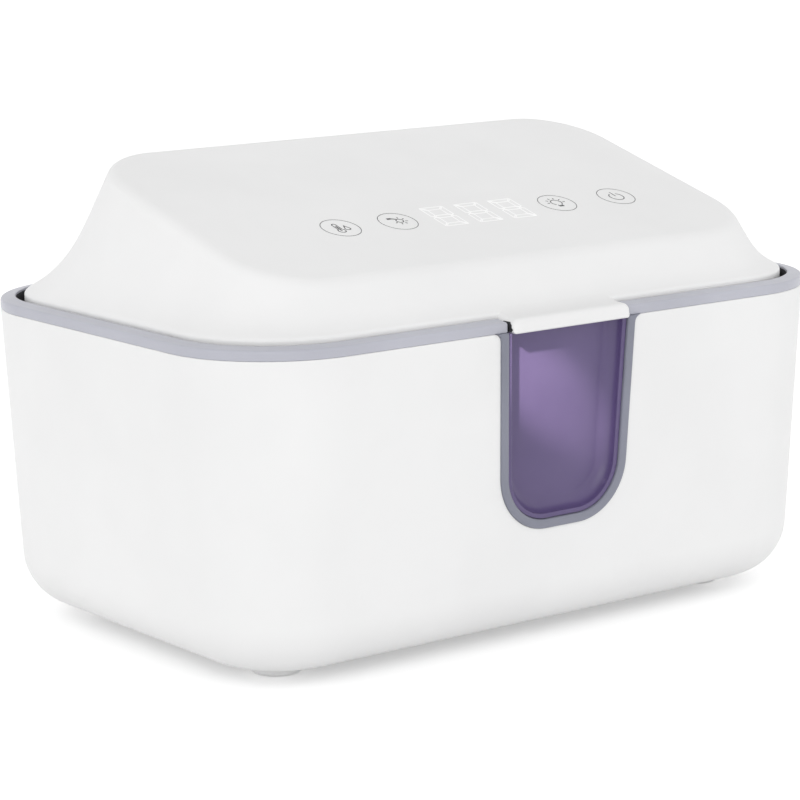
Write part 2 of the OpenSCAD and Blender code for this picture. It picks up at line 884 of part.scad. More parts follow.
// Rings of the lid's surface, offset into the lid by t, from the skirt's lower edge up
function lid_rings(t) =
    let (
        foot = ring(lid_inset + t, 0),
        top = plateau_ring(t),
        low = lip_z - t/2,
        r = edge_r - 0.9*t
    )
    concat(
        [ring(lid_inset + t, skirt_z)],
        [
            for (k = [0:flank_steps])
                let (u = flank_in(k/flank_steps), v = flank_up(k/flank_steps))
                [
                    for (i = [0:len(top) - 1])
                        let (
                            x = (1 - u)*foot[i][0] + u*top[i][0],
                            y = (1 - u)*foot[i][1] + u*top[i][1]
                        )
                        [x, y, low + v*(plateau_level(top[i][1], t) - r - low)]
                ]
        ],
        [
            for (a = [22.5:22.5:90])
                [
                    for (p = plateau_ring(t + r*(1 - cos(a))))
                        [p[0], p[1], plateau_level(p[1], t) - r*(1 - sin(a))]
                ]
        ]
    );

function reversed(list) = [for (i = [len(list) - 1:-1:0]) list[i]];

// Point on the rear flank in the middle of the wall
function rear_flank(s) =
    let (t = lid_wall/2, low = lip_z - t/2)
    [
        (1 - flank_in(s))*(half_d - lid_inset - t) + flank_in(s)*(plateau_back - t),
        low + flank_up(s)*(plateau_level(plateau_back, t) - edge_r - low)
    ];

// Frame of the plateau: X across, Y up the slope, Z out of it, from its rear edge
module on_plateau() {
    translate([0, plateau_back, plateau_z]) rotate([plateau_tilt, 0, 0]) children();
}

// A knuckle of the lid and the arm that joins it to the rear flank
module lid_knuckle(x0, x1) {
    across(x0, x1) {
        translate([hinge_y, hinge_z]) circle(r = knuckle_r);
        polygon([
            [half_d - lid_inset - lid_wall/2, hinge_z - knuckle_r],
            [hinge_y, hinge_z - knuckle_r],
            [hinge_y, hinge_z + knuckle_r],
            rear_flank(0.18)
        ]);
    }
}

// The lifting tab: its section from the front lip outwards, cut to its rounded front
module tab() {
    front = -half_d - tab_out;
    root = -half_d + lid_inset;
    r = tab_edge;
    intersection() {
        across(-tab_half, tab_half)
            polygon(concat(
                [
                    [root + lid_wall/2, tab_low + 0.2], [front + 0.6, tab_low],
                    [front, tab_low + 0.6]
                ],
                [for (a = [180:-18:90]) [front + r*(1 + cos(a)), tab_high - 0.5 - r*(1 - sin(a))]],
                [
                    [root - 3, tab_high - 0.1], [root, tab_high + 0.6],
                    [root + lid_wall/2, lip_z + 0.4]
                ]
            ));
        translate([0, root + lid_wall, 0])
            rotate([90, 0, 0]) linear_extrude(lid_inset + lid_wall + 2*tab_out) {
                translate([-tab_half, tab_low - cut])
                    square([2*tab_half, tab_high - tab_low + cut - tab_r]);
                translate([tab_r - tab_half, tab_low])
                    square([2*(tab_half - tab_r), tab_high - tab_low + 2*cut]);
                for (s = [-1, 1])
                    translate([s*(tab_half - tab_r), tab_high - tab_r]) circle(r = tab_r);
            }
    }
}

module lid_shell() color(white) difference() {
    union() {
        loft(concat(reversed(lid_rings(lid_wall)), lid_rings(0)));
        intersection() {
            at_corners(lid_screw_x, lid_screw_y)
                translate([0, 0, liner_z + liner_t + liner_boss_h])
                    cylinder(r = lid_boss_r, h = lid_h);
            loft(lid_rings(lid_wall/2));
        }
        on_plateau() translate([0, control_y, control_z])
            at_corners(control_hole_x, control_hole_y)
                cylinder(r = control_boss_r, h = control_gap + lid_wall/2);
        for (s = [-1, 1]) lid_knuckle(s*hinge_x - knuckle_w/2, s*hinge_x + knuckle_w/2);
        lid_knuckle(-duct_x + ear_w/2 + gap, -duct_x + ear_w/2 + gap + duct_w);
        tab();
    }
    for (s = [-1, 1])
        on_axis(s*hinge_x - knuckle_w/2 - cut, s*hinge_x + knuckle_w/2 + cut, pin_r + run);
    on_axis(-duct_x + ear_w/2 + gap - cut, lid_duct[0] + axis_past, axis_hole);
    duct(lid_duct, lid_duct_end, wire_hole);
    at_corners(lid_screw_x, lid_screw_y)
        translate([0, 0, liner_z]) cylinder(r = screw_r + run, h = lid_screw_l + clear);
    on_plateau() translate([0, control_y, control_z - cut])
        at_corners(control_hole_x, control_hole_y)
            cylinder(r = screw_r + run, h = control_gap + cut - 0.6);
}

// The duct that takes the wires from the hinge axis forward into the lid
lid_duct = [-duct_x + ear_w/2 + gap + duct_w/2, hinge_y, hinge_z];
lid_duct_end = [lid_duct[0], half_d - lid_inset - lid_wall - 7, liner_z + liner_t + 1.8];

module lid_liner() color(pearl) difference() {
    union() {
        translate([0, 0, liner_z]) rim_plate(liner_in, liner_t);
        at_corners(lid_screw_x, lid_screw_y)
            translate([0, 0, liner_z]) cylinder(r = liner_boss_r, h = liner_t + liner_boss_h);
    }
    translate([0, 0, liner_z - cut]) difference() {
        rim_plate(gasket_in, groove + cut);
        translate([0, 0, -cut]) rim_plate(gasket_in + gasket_w, groove + 3*cut);
    }
    at_corners(lid_screw_x, lid_screw_y) {
        translate([0, 0, liner_z - cut])
            cylinder(r = screw_r + hole_room, h = liner_t + liner_boss_h + 2*cut);
        translate([0, 0, liner_z - cut])
            cylinder(r = screw_head_r + hole_room, h = screw_head_h + fit + cut);
    }
}

module lid_gasket() color(rubber)
    translate([0, 0, tank_top + gap]) difference() {
        high = liner_z + groove - tank_top - gap;
        rim_plate(gasket_in + run, high);
        translate([0, 0, -cut]) rim_plate(gasket_in + gasket_w - run, high + 2*cut);
    }

module lid_screws() color(steel)
    at_corners(lid_screw_x, lid_screw_y)
        translate([0, 0, liner_z + screw_head_h + fit]) screw(lid_screw_l);

module control_board() color(board) on_plateau() translate([0, control_y, control_z]) {
    difference() {
        translate([-control_w/2, -control_d/2, -board_t]) cube([control_w, control_d, board_t]);
        at_corners(control_hole_x, control_hole_y)
            translate([0, 0, -board_t - cut])
                cylinder(r = screw_r + hole_room, h = board_t + 2*cut);
    }
    translate([-2*chip[0], -chip[1], -board_t - chip[2]]) cube(chip + [0, 0, sink]);
    translate([lid_duct[0] - plug_w/2, control_plug_y, -board_t - plug_h])
        cube([plug_w, plug_d, plug_h + sink]);
    for (x = control_part_x) translate([x, control_part_y, -sink]) cube(control_part);
}

module control_screws() color(steel)
    on_plateau() translate([0, control_y, control_z - board_t])
        at_corners(control_hole_x, control_hole_y) screw(control_screw_l);

module led_display() color(white)
    on_plateau() translate([display_x, control_y, control_z]) difference() {
        translate([-display_w/2, -display_d/2, 0])
            cube([display_w, display_d, control_gap - gap]);
        for (i = [-1:1])
            translate([i*digit_pitch - digit_w/2, -digit_d/2, control_gap - cut])
                cube([digit_w, digit_d, cut]);
    }

module touch_springs() color(steel)
    on_plateau() for (x = keys_x) translate([x, control_y, control_z]) difference() {
        cylinder(r = spring_r, h = control_gap - fit);
        translate([0, 0, spring_floor]) cylinder(r = spring_r - spring_wall, h = control_gap);
    }

module buzzer() color(black)
    on_plateau()
        translate([buzzer_x, control_y - buzzer_r, control_z - board_t - buzzer_h])
            difference() {
                cylinder(r = buzzer_r, h = buzzer_h);
                translate([0, 0, -cut]) cylinder(r = 1, h = cut + 1.5);
            }

module lid_harness() color(black) {
    c = cos(plateau_tilt);
    s = sin(plateau_tilt);
    along = control_y + control_plug_y + plug_d + fit;
    down = control_z - board_t - 2;
    plug = [lid_duct[0], plateau_back + along*c - down*s, plateau_z + along*s + down*c];
    way = unit(lid_duct_end - lid_duct);
    wire(rounded([
        [-duct_x + ear_w/2 + gap/2, hinge_y, hinge_z],
        lid_duct,
        lid_duct_end - 0.8*way,
        [lid_duct[0], plateau_back - 10, lip_z + 9],
        plug + [0, 8*c, 8*s],
        plug
    ], 2.2), wire_r, [0.3, 0.25, 0.9]);
}

outer_housing();
base_cover();
cover_screws();
foot_pads();
rim_frame();
window_trim();
window_lens();
night_light_board();
container();
heater_plate();
heating_film();
insulation_pad();
thermistor();
thermal_fuse();
power_board();
board_screws();
power_inlet();
inlet_contacts();
inlet_leads();
heater_leads();
light_lead();
base_harness();
hinge_pins();
lid_shell();
lid_liner();
lid_gasket();
lid_screws();
control_board();
control_screws();
led_display();
touch_springs();
buzzer();
lid_harness();
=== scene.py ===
# %% [markdown]
# # A warmer for a pack of baby wipes
# The real product is a white moulded box on four feet, with a lavender-grey band round its
# rim, a violet window at the front and a hinged lid that carries touch keys and a display.
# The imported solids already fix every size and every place. This lesson dresses them: each
# visible moulding is worked out again as a smooth surface in the same frame, and the parts
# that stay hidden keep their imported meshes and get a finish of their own.

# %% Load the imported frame
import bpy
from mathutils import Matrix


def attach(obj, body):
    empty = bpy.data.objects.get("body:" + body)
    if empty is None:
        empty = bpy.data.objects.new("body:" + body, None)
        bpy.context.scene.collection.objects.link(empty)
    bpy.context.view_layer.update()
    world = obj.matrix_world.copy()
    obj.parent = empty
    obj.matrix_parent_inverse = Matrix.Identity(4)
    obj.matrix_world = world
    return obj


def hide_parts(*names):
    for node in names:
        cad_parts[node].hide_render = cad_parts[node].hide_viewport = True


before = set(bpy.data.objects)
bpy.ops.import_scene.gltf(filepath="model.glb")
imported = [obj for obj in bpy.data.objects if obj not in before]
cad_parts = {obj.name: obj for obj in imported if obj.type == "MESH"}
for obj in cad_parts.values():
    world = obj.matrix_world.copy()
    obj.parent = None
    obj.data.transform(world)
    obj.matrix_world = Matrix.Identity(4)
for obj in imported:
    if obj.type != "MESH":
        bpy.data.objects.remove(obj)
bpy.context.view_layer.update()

# %% Modules used below
import math

import bmesh
import bpy
import numpy as np
from mathutils import Matrix

# %% [markdown]
# The camera comes first, because everything is judged through it. The photograph was taken
# with a long lens from the front left, a little above the lid. A long lens keeps upright
# edges nearly parallel, so the camera stands almost a metre away. Its place was found by
# matching corners of the product, and it is given here as two angles and a distance.

# %% Camera at the photograph's angle
AZIMUTH, ELEVATION, ROLL = 0.65260, 0.20024, -0.01094      # radians
DISTANCE, AIM_HEIGHT = 0.970626, 0.060                     # metres
FOCAL_PIXELS, IMAGE = 3020.7, 800
SHIFT_RIGHT, SHIFT_DOWN = 8.74, 13.73                      # pixels

back = np.array([-math.sin(AZIMUTH)*math.cos(ELEVATION),
                 -math.cos(AZIMUTH)*math.cos(ELEVATION), math.sin(ELEVATION)])
right = np.array([math.cos(AZIMUTH), -math.sin(AZIMUTH), 0.0])
upward = np.cross(back, right)
tilted_right = math.cos(ROLL)*right + math.sin(ROLL)*upward
tilted_up = math.cos(ROLL)*upward - math.sin(ROLL)*right
lens = bpy.data.cameras.new("studio_camera")
lens.sensor_width = 36
lens.lens = 36*FOCAL_PIXELS/IMAGE
lens.shift_x, lens.shift_y = -SHIFT_RIGHT/IMAGE, SHIFT_DOWN/IMAGE
lens.clip_end = 50
camera = bpy.data.objects.new("studio_camera", lens)
bpy.context.scene.collection.objects.link(camera)
place = np.eye(4)
place[:3, :4] = np.stack([tilted_right, tilted_up, back,
                          back*DISTANCE + [0, 0, AIM_HEIGHT]], 1)
camera.matrix_world = Matrix(place.tolist())
bpy.context.scene.camera = camera
bpy.context.scene.view_settings.view_transform = "Standard"
print(f"lens {lens.lens:.1f} mm, {DISTANCE} m away")

# %% [markdown]
# Moulded plastic parts share a few sizes: the walls lean inwards so that the part leaves its
# mould, the corners follow one outline, and each neighbour is that outline moved in or out.
# All sizes here are millimetres, because that is how such parts are drawn; they turn into
# metres only when a mesh is made.

# %% Sizes of the housing and the rim
BODY_W, BODY_D, BODY_R = 236, 158.4, 36.2
FOOT_H, HOUSING_H, BASE_R, WALL = 4, 95.6, 16.7, 2.6
LEAN = math.radians(3.08)
RIM_Z = FOOT_H + HOUSING_H
FLOOR_Z = FOOT_H + WALL


def wall_in(z):
    """How far the wall stands inside the rim at height z: the drop times its lean's tangent."""
    return (RIM_Z - z)*math.tan(LEAN)


print(f"rim at {RIM_Z} mm, housing {BODY_W - 2*wall_in(FOOT_H + BASE_R):.1f} mm wide low down")

# %% [markdown]
# Two helpers make most of the shapes. One draws a rounded rectangle together with the
# direction that points out of it at each point; moving every point along that direction
# offsets the outline evenly, which is how a designer keeps a wall of one thickness. The
# other puts faces between neighbouring rows of points, as a skin is stretched over ribs.


# %% Outlines and rings
def outline(front_half, back_half, front, back, r, corner=30, sides=(1, 1, 1, 1)):
    """Rounded rectangle from above, anticlockwise from +X, with its outward directions.

    A corner point is the corner's centre plus r times the direction of its angle. The
    sides (back, left, front, right) are then cut into equal lengths between the corners.
    """
    quarter = np.repeat(np.arange(4), corner + 1)
    angle = np.radians(90*(quarter + np.tile(np.linspace(0, 1, corner + 1), 4)))
    out = np.stack([np.cos(angle), np.sin(angle)], 1)
    rear = quarter < 2
    half = np.where(rear, back_half, front_half)
    centre = np.stack([np.array([1, -1, -1, 1])[quarter]*(half - r),
                       np.where(rear, back - r, front + r)], 1)
    points = (centre + r*out).reshape(4, -1, 2)
    out = out.reshape(4, -1, 2)
    ahead = np.roll(points, -1, 0)[:, :1]
    joined, facing = [], []
    for q, pieces in enumerate(sides):
        share = np.arange(1, pieces)[:, None]/pieces
        joined += [points[q], points[q, -1:]*(1 - share) + ahead[q]*share]
        facing += [out[q], np.repeat(out[q, -1:], pieces - 1, 0)]
    return np.concatenate(joined), np.concatenate(facing)


def rings(shape, inset, height):
    """The outline moved in by each inset and lifted to each height, one row per pair."""
    points, out = shape
    inset, height = np.broadcast_arrays(np.asarray(inset, float), np.asarray(height, float))
    if inset.ndim == 1:
        inset, height = inset[:, None], height[:, None]
    flat = points - inset[..., None]*out
    lift = np.broadcast_to(height, flat.shape[:2])
    return np.concatenate([flat, lift[..., None]], 2)


RIM_SHAPE = outline(BODY_W/2, BODY_W/2, -BODY_D/2, BODY_D/2, BODY_R)
print(len(RIM_SHAPE[0]), "points round the rim")


# %% Skins over rows of points
def skin(rows, wound=False, closed=True, caps=True):
    """Faces between neighbouring rows of points.

    wound joins the last row to the first, closed joins each row's end to its start, and
    caps closes an open skin with one face over its first row and one over its last.
    """
    count, length = rows.shape[:2]
    index = np.arange(count*length).reshape(count, length)
    low, high = (index, np.roll(index, -1, 0)) if wound else (index[:-1], index[1:])
    here, there = (slice(None), slice(None)) if closed else (slice(0, -1), slice(1, None))
    turn = (lambda a: np.roll(a, -1, 1)) if closed else (lambda a: a[:, there])
    quads = np.stack([low[:, here], turn(low), turn(high), high[:, here]], -1)
    faces = quads.reshape(-1, 4).tolist()
    if caps and not wound:
        faces += [index[0, ::-1].tolist(), index[-1].tolist()]
    if wound and not closed:
        faces += [index[:, 0].tolist(), index[::-1, -1].tolist()]
    return rows.reshape(-1, 3), faces


def extruded(section, start, end, along="z"):
    """A flat outline drawn out between two places along z or x, closed at both ends."""
    rows = np.zeros((2, len(section), 3))
    a, b, c = {"z": (0, 1, 2), "x": (1, 2, 0)}[along]
    rows[..., a], rows[..., b] = section[:, 0], section[:, 1]
    rows[..., c] = np.array([[start], [end]])
    return skin(rows)


def mesh_object(name, skins, sharp=34):
    """One mesh in metres from several skins, smooth except at edges sharper than `sharp`."""
    points = np.concatenate([p for p, f in skins])/1000
    starts = np.cumsum([0] + [len(p) for p, f in skins])
    faces = [[i + s for i in face] for s, (p, f) in zip(starts, skins) for face in f]
    mesh = bpy.data.meshes.new(name)
    mesh.from_pydata(points.tolist(), [], faces)
    shell = bmesh.new()
    shell.from_mesh(mesh)
    bmesh.ops.recalc_face_normals(shell, faces=shell.faces)
    shell.to_mesh(mesh)
    shell.free()
    made = bpy.data.objects.new(name, mesh)
    bpy.context.scene.collection.objects.link(made)
    smooth(mesh, sharp)
    return made


def smooth(mesh, sharp=34):
    """Smooth shading that stops at sharp edges."""
    mesh.shade_smooth()
    mesh.set_sharp_from_angle(angle=math.radians(sharp))


def cut_away(body, *tools):
    """Takes the tools' space out of a piece, then keeps the result and drops the tools."""
    for tool in tools:
        cutter = mesh_object("cutter", tool)
        step = body.modifiers.new("cut", "BOOLEAN")
        step.operation, step.solver, step.object = "DIFFERENCE", "EXACT", cutter
        bpy.context.view_layer.update()
        result = body.evaluated_get(bpy.context.evaluated_depsgraph_get())
        mesh = bpy.data.meshes.new_from_object(result)
        body.modifiers.clear()
        body.data = mesh
        bpy.data.objects.remove(cutter)
    smooth(body.data)


def place_piece(made, body, material, replaced=(), even=True):
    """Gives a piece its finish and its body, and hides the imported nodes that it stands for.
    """
    made.data.materials.clear()
    made.data.materials.append(material)
    if even:
        weigh = made.modifiers.new("even", "WEIGHTED_NORMAL")
        weigh.keep_sharp = True
    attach(made, body)
    if replaced:
        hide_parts(*replaced)
    print(f"{made.name}: {len(made.data.polygons)} faces on {body}")
    return made


# %% [markdown]
# A finish starts from what the part is made of. Most parts here are ABS, a tough moulded
# plastic: the mould's spark-eroded face leaves a fine even grain, so the plastic looks
# satin rather than wet. Polycarbonate is clearer and glossier, zinc-plated steel shows
# faint drawing lines, and a circuit board is green glass fibre under clear lacquer. Every
# pattern is scaled in millimetres on the piece's own coordinates, so it stays put when the
# lid turns.


# %% Colour and node helpers
def linear(text):
    """An sRGB hex colour as the linear red, green, blue and alpha that a shader wants."""
    value = np.array([int(text[i:i + 2], 16) for i in (0, 2, 4)])/255
    value = np.where(value <= 0.04045, value/12.92, ((value + 0.055)/1.055)**2.4)
    return (*value.tolist(), 1.0)


def add(tree, kind, sockets=None, **settings):
    """Adds a node: settings are its own, sockets take a value or another node's output."""
    made = tree.nodes.new(kind)
    for name, value in settings.items():
        setattr(made, name, value)
    for name, value in (sockets or {}).items():
        if isinstance(value, bpy.types.NodeSocket):
            tree.links.new(value, made.inputs[name])
        else:
            made.inputs[name].default_value = value
    return made


def grain(tree, size, detail=2.0, stretch=(1, 1, 1)):
    """Noise whose blobs are about `size` millimetres across, on the piece's own place."""
    place = add(tree, "ShaderNodeTexCoord")
    scaled = add(tree, "ShaderNodeMapping",
                 {"Vector": place.outputs["Object"], "Scale": stretch})
    return add(tree, "ShaderNodeTexNoise", {
        "Vector": scaled.outputs[0], "Scale": 1000/size, "Detail": detail}).outputs[0]


NOISE_LOW, NOISE_HIGH = 0.35, 0.65             # most of a noise pattern lies between these


def finish(name, slot, low, high, rough, patch=45, grain_mm=0.5, bump_mm=0.01,
           stretch=(1, 1, 1), **sockets):
    """A surface whose colour drifts over patches and whose grain bends the light a little.

    rough is the lowest and highest roughness; patch and grain_mm are sizes in millimetres
    and bump_mm is the height of the grain. Colour and roughness run from their low to
    their high value as the noise goes from NOISE_LOW to NOISE_HIGH.
    """
    material = bpy.data.materials.new(name)
    material.use_nodes = True
    tree = material.node_tree
    tree.nodes.clear()
    colour = add(tree, "ShaderNodeValToRGB", {"Fac": grain(tree, patch, 3.0, stretch)})
    ends = zip(colour.color_ramp.elements, (NOISE_LOW, NOISE_HIGH), (low, high))
    for stop, at, text in ends:
        stop.position, stop.color = at, linear(text)
    fine = grain(tree, grain_mm, 2.0, stretch)
    rough_at = add(tree, "ShaderNodeMapRange", {
        "Value": fine, "From Min": NOISE_LOW, "From Max": NOISE_HIGH,
        "To Min": rough[0], "To Max": rough[1]})
    bump = add(tree, "ShaderNodeBump", {"Height": fine, "Distance": bump_mm/1000,
                                        "Strength": 0.5})
    shader = add(tree, "ShaderNodeBsdfPrincipled", {
        "Base Color": colour.outputs[0], "Roughness": rough_at.outputs[0],
        "Normal": bump.outputs[0], **sockets})
    add(tree, "ShaderNodeOutputMaterial", {"Surface": shader.outputs[0]})
    material.diffuse_color = linear(high)
    return material


# %% Plastics
# White and black ABS have the fine grain of an eroded mould. The band and the trim come
# from a polished mould, so their grain is long and almost flat and their gloss is even. The
# lens lets a little light through. The matt charcoal is painted shade, laid into gaps where
# only shadow falls, and polypropylene looks slightly waxy.
WHITE_ABS = finish("white_spark_textured_abs", "body_white", "EEEEEE", "F1F1F1",
                   (0.36, 0.46), grain_mm=0.45, bump_mm=0.006, **{"IOR": 1.46})
RIM_ABS = finish("lavender_glossy_abs", "rim_lavender", "B5B6C0", "BDBEC8",
                 (0.30, 0.34), grain_mm=6, bump_mm=0.001, **{"IOR": 1.5})
TRIM_ABS = finish("slate_lavender_glossy_abs", "rim_lavender", "80828F", "898B99",
                  (0.28, 0.32), grain_mm=6, bump_mm=0.001, **{"IOR": 1.5})
LENS_PC = finish("violet_tinted_polycarbonate", "lens_violet", "5C4D7C", "645584",
                 (0.28, 0.36), patch=30, grain_mm=4, bump_mm=0.001, **{
                     "IOR": 1.58, "Transmission Weight": 0.15})
# Painted shade: thin near-black sheets carry this finish into the channel and the tab's slot.
PAINTED_SHADE_CHARCOAL = finish("charcoal_painted_channel_shade", "seal_rubber", "26262A", "303034",
                     (0.6, 0.75), patch=12, grain_mm=0.6, bump_mm=0.01)
PEARL_PP = finish("pearl_white_polypropylene", "inner_pearl", "DDDDE2", "E6E6EA",
                  (0.32, 0.44), grain_mm=0.6, bump_mm=0.006, **{"IOR": 1.49})
BLACK_ABS = finish("black_fine_grain_abs", "black_plastic", "1B1B1D", "262628",
                   (0.38, 0.52), grain_mm=0.35, bump_mm=0.01)
print(len(bpy.data.materials), "materials so far")

# %% Rubber, foam, film and board
# Silicone is soft and dull, and foam shows its cells of about a millimetre. The film and
# the board have a clear layer on top, and a wire's jacket is satin from extrusion.
SILICONE = finish("soft_grey_silicone_rubber", "seal_rubber", "BFC0C6", "CBCCD2",
                  (0.55, 0.7), grain_mm=0.4, bump_mm=0.01)
FOAM = finish("closed_cell_insulation_foam", "foam_grey", "C9C9C4", "DDDDD8",
              (0.85, 0.95), patch=6, grain_mm=1.1, bump_mm=0.15)
FILM = finish("amber_polyimide_heating_film", "film_amber", "A8601C", "C98432",
              (0.2, 0.32), patch=8, grain_mm=2.0, bump_mm=0.01, **{"Coat Weight": 0.4})
BOARD = finish("green_lacquered_circuit_board", "board_green", "14532E", "1E6B3C",
               (0.25, 0.4), patch=3, grain_mm=0.8, bump_mm=0.02, **{"Coat Weight": 0.3})
JACKET = finish("black_pvc_wire_jacket", "wire_jacket", "202022", "2C2C2F",
                (0.4, 0.55), grain_mm=0.5, bump_mm=0.01)

# %% Metals
# Drawn steel and rolled aluminium have their grain stretched along one direction, which
# draws their shine out. The plated brass pin has an even, finer grain and is brighter.
STEEL = finish("zinc_plated_drawn_steel", "steel", "B4B6BA", "C8CACD", (0.25, 0.4),
               patch=5, grain_mm=0.4, bump_mm=0.006, stretch=(1, 1, 0.15),
               **{"Metallic": 1.0})
ALUMINIUM = finish("rolled_aluminium_sheet", "aluminium_sheet", "C6C8CB", "D6D8DA",
                   (0.3, 0.45), patch=20, grain_mm=0.5, bump_mm=0.006,
                   stretch=(0.1, 1, 1), **{"Metallic": 1.0})
BRASS = finish("nickel_plated_brass_pin", "brass_pin", "C9B98A", "D8CBA2", (0.2, 0.3),
               patch=3, grain_mm=0.3, bump_mm=0.003, **{"Metallic": 1.0})
print(len(bpy.data.materials), "materials in all")

# %% [markdown]
# The parts inside the housing and the lid are real parts with real places, but only a
# service engineer sees them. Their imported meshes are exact, so they keep them, and each
# one gets the finish of its material.

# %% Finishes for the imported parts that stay
KEPT = {
    STEEL: "cover_screws board_screws lid_screws control_screws hinge_pins touch_springs "
           "thermal_fuse",
    BOARD: "night_light_board power_board control_board",
    JACKET: "inlet_leads heater_leads light_lead base_harness lid_harness",
    BLACK_ABS: "power_inlet thermistor buzzer",
    SILICONE: "foot_pads lid_gasket",
    WHITE_ABS: "base_cover led_display",
    PEARL_PP: "lid_liner",
    ALUMINIUM: "heater_plate",
    BRASS: "inlet_contacts",
    FILM: "heating_film",
    FOAM: "insulation_pad",
}
for material, names in KEPT.items():
    for name in names.split():
        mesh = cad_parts[name].data
        mesh.materials.clear()
        mesh.materials.append(material)
print(sum(len(names.split()) for names in KEPT.values()), "packed parts finished")

# %% [markdown]
# ## The housing
# The housing is one deep moulding: a flat underside, a wide round, leaning walls and an
# open top. Its section is a list of insets and heights, and the rim's outline carries that
# section all the way round, outside first and then back down the inside.

# %% Section of the housing
LOFT_STEPS = 14
turn = np.radians(np.linspace(0, 90, LOFT_STEPS + 1))
lip = 0.35                                     # small round on the wall's top edge
outer_z = FOOT_H + BASE_R*(1 - np.cos(turn))
outer_in = wall_in(outer_z) + BASE_R*(1 - np.sin(turn))
inner_r = BASE_R - WALL
inner_z = FLOOR_Z + inner_r*(1 - np.cos(turn[::-1]))
inner_in = wall_in(inner_z) + WALL + inner_r*(1 - np.sin(turn[::-1]))
housing_in = np.concatenate([outer_in, [0, lip/3, lip, WALL - lip, WALL], inner_in])
housing_z = np.concatenate([outer_z, RIM_Z - np.array([lip, lip/3, 0, 0, lip]), inner_z])
print(len(housing_in), "points in the section")

# %% [markdown]
# A foot is a turned shape: a flat tip for its rubber pad, a small round, and a hollow
# curve that runs out into the underside. Turning one profile round an axis gives it.

# %% Feet turned from a profile
FOOT_X, FOOT_Y, FOOT_R, PAD_PROUD, TIP, ROOT = 84, 44, 10, 0.3, 0.8, 2.2


def turned(profile, x, y, steps=64):
    """Circles of each radius at each height round the upright line through x, y."""
    angle = np.linspace(0, 2*math.pi, steps, endpoint=False)
    radius, height = np.asarray(profile, float).T
    rows = np.stack([x + radius[:, None]*np.cos(angle), y + radius[:, None]*np.sin(angle),
                     np.broadcast_to(height[:, None], (len(radius), steps))], 2)
    return skin(rows)


tip_turn = np.radians(np.linspace(-90, 0, 7))
root_turn = np.radians(np.linspace(180, 95, 9))
foot_profile = np.concatenate([
    np.stack([FOOT_R - ROOT - TIP + TIP*np.cos(tip_turn),
              PAD_PROUD + TIP*(1 + np.sin(tip_turn))], 1),
    np.stack([FOOT_R + ROOT*np.cos(root_turn), FOOT_H - ROOT + ROOT*np.sin(root_turn)], 1),
    [[FOOT_R, FOOT_H + 0.5]]])
feet = [turned(foot_profile, sx*FOOT_X, sy*FOOT_Y) for sx in (-1, 1) for sy in (-1, 1)]
print(len(feet), "feet")

# %% [markdown]
# The window's outline decides three mouldings: the notch in the wall, the trim round it and
# the lens inside it. So it is one function of how far the outline is moved inwards. Its
# sides lean a little, its lower corners are round, and at the top the notch flares out to
# meet the rim, which leaves the white corners rounded there.

# %% The window's outline on the sloping front wall
WINDOW_W, WINDOW_H, WINDOW_R, FLARE = 52.6, 62.4, 18.5, 2.5
WINDOW_LEAN = math.radians(2)


def window_half(inset, top=0.0, flare=0.0, straight=26, corner=30):
    """Right half of the outline moved in by `inset`, from the height `top` down.

    The side is a straight line that leans by WINDOW_LEAN, the corner a quarter circle; the
    flare adds a hollow quarter circle of that radius where the side meets the rim.
    """
    half, r, low = WINDOW_W/2 - inset, WINDOW_R - inset, inset - WINDOW_H
    end_z = low + r - r*math.sin(WINDOW_LEAN)
    share = np.linspace(0, 1, straight)**1.8
    z = top + (end_z - top)*share
    bend = np.clip((z + flare)/max(flare, 1e-6), 0, 1) if flare else np.zeros_like(z)
    x = half + z*math.tan(WINDOW_LEAN) + flare*(1 - np.sqrt(1 - bend**2))
    angle = np.linspace(-WINDOW_LEAN, -math.pi/2, corner + 1)[1:]
    centre = half + end_z*math.tan(WINDOW_LEAN) - r*math.cos(WINDOW_LEAN)
    return np.concatenate([np.stack([x, z], 1), np.stack(
        [centre + r*np.cos(angle), low + r + r*np.sin(angle)], 1)])


def window_path(inset, top=0.0, flare=0.0):
    """The whole outline, from its right end at the top round to its left end."""
    side = window_half(inset, top, flare)
    return np.concatenate([side, (side*[-1, 1])[::-1]])


def on_front(x, depth, up):
    """Places points of the sloping front wall: across, into the warmer and up the slope."""
    x, depth, up = np.broadcast_arrays(x, depth, up)
    return np.stack([x, -BODY_D/2 + depth*math.cos(LEAN) - up*math.sin(LEAN),
                     RIM_Z + depth*math.sin(LEAN) + up*math.cos(LEAN)], -1)


def front_block(path, near, far):
    """A flat outline on the front wall drawn out from depth `near` to depth `far`."""
    rows = np.stack([on_front(path[:, 0], d, path[:, 1]) for d in (far, near)])
    return skin(rows[:, ::-1])


print("window", WINDOW_W, "x", WINDOW_H, "mm")

# %% The housing with its openings
COVER_W, COVER_D, COVER_R = 140, 96, 8
INLET_X, INLET_Z, INLET_HOLE, INLET_DEEP = 70, 24, 4.7, 9
notch = window_path(0, 0, FLARE)
notch = np.concatenate([[[notch[0, 0], 2.0]], notch, [[notch[-1, 0], 2.0]]])
angle = np.linspace(0, 2*math.pi, 64, endpoint=False)
hole = np.zeros((2, 64, 3))
hole[..., 0] = INLET_X + INLET_HOLE*np.sin(angle)
hole[..., 2] = INLET_Z + INLET_HOLE*np.cos(angle)
hole[..., 1] = np.array([[BODY_D/2 - INLET_DEEP], [BODY_D/2 + 2]])
cover = outline(COVER_W/2, COVER_W/2, -COVER_D/2, COVER_D/2, COVER_R, 12)[0]
housing = mesh_object("housing", [skin(rings(RIM_SHAPE, housing_in, housing_z))])
cut_away(housing, [front_block(notch, -3, WALL + 3)], [skin(hole)],
         [extruded(cover, 2, FLOOR_Z + 1)])
print(len(housing.data.polygons), "faces after the cuts")

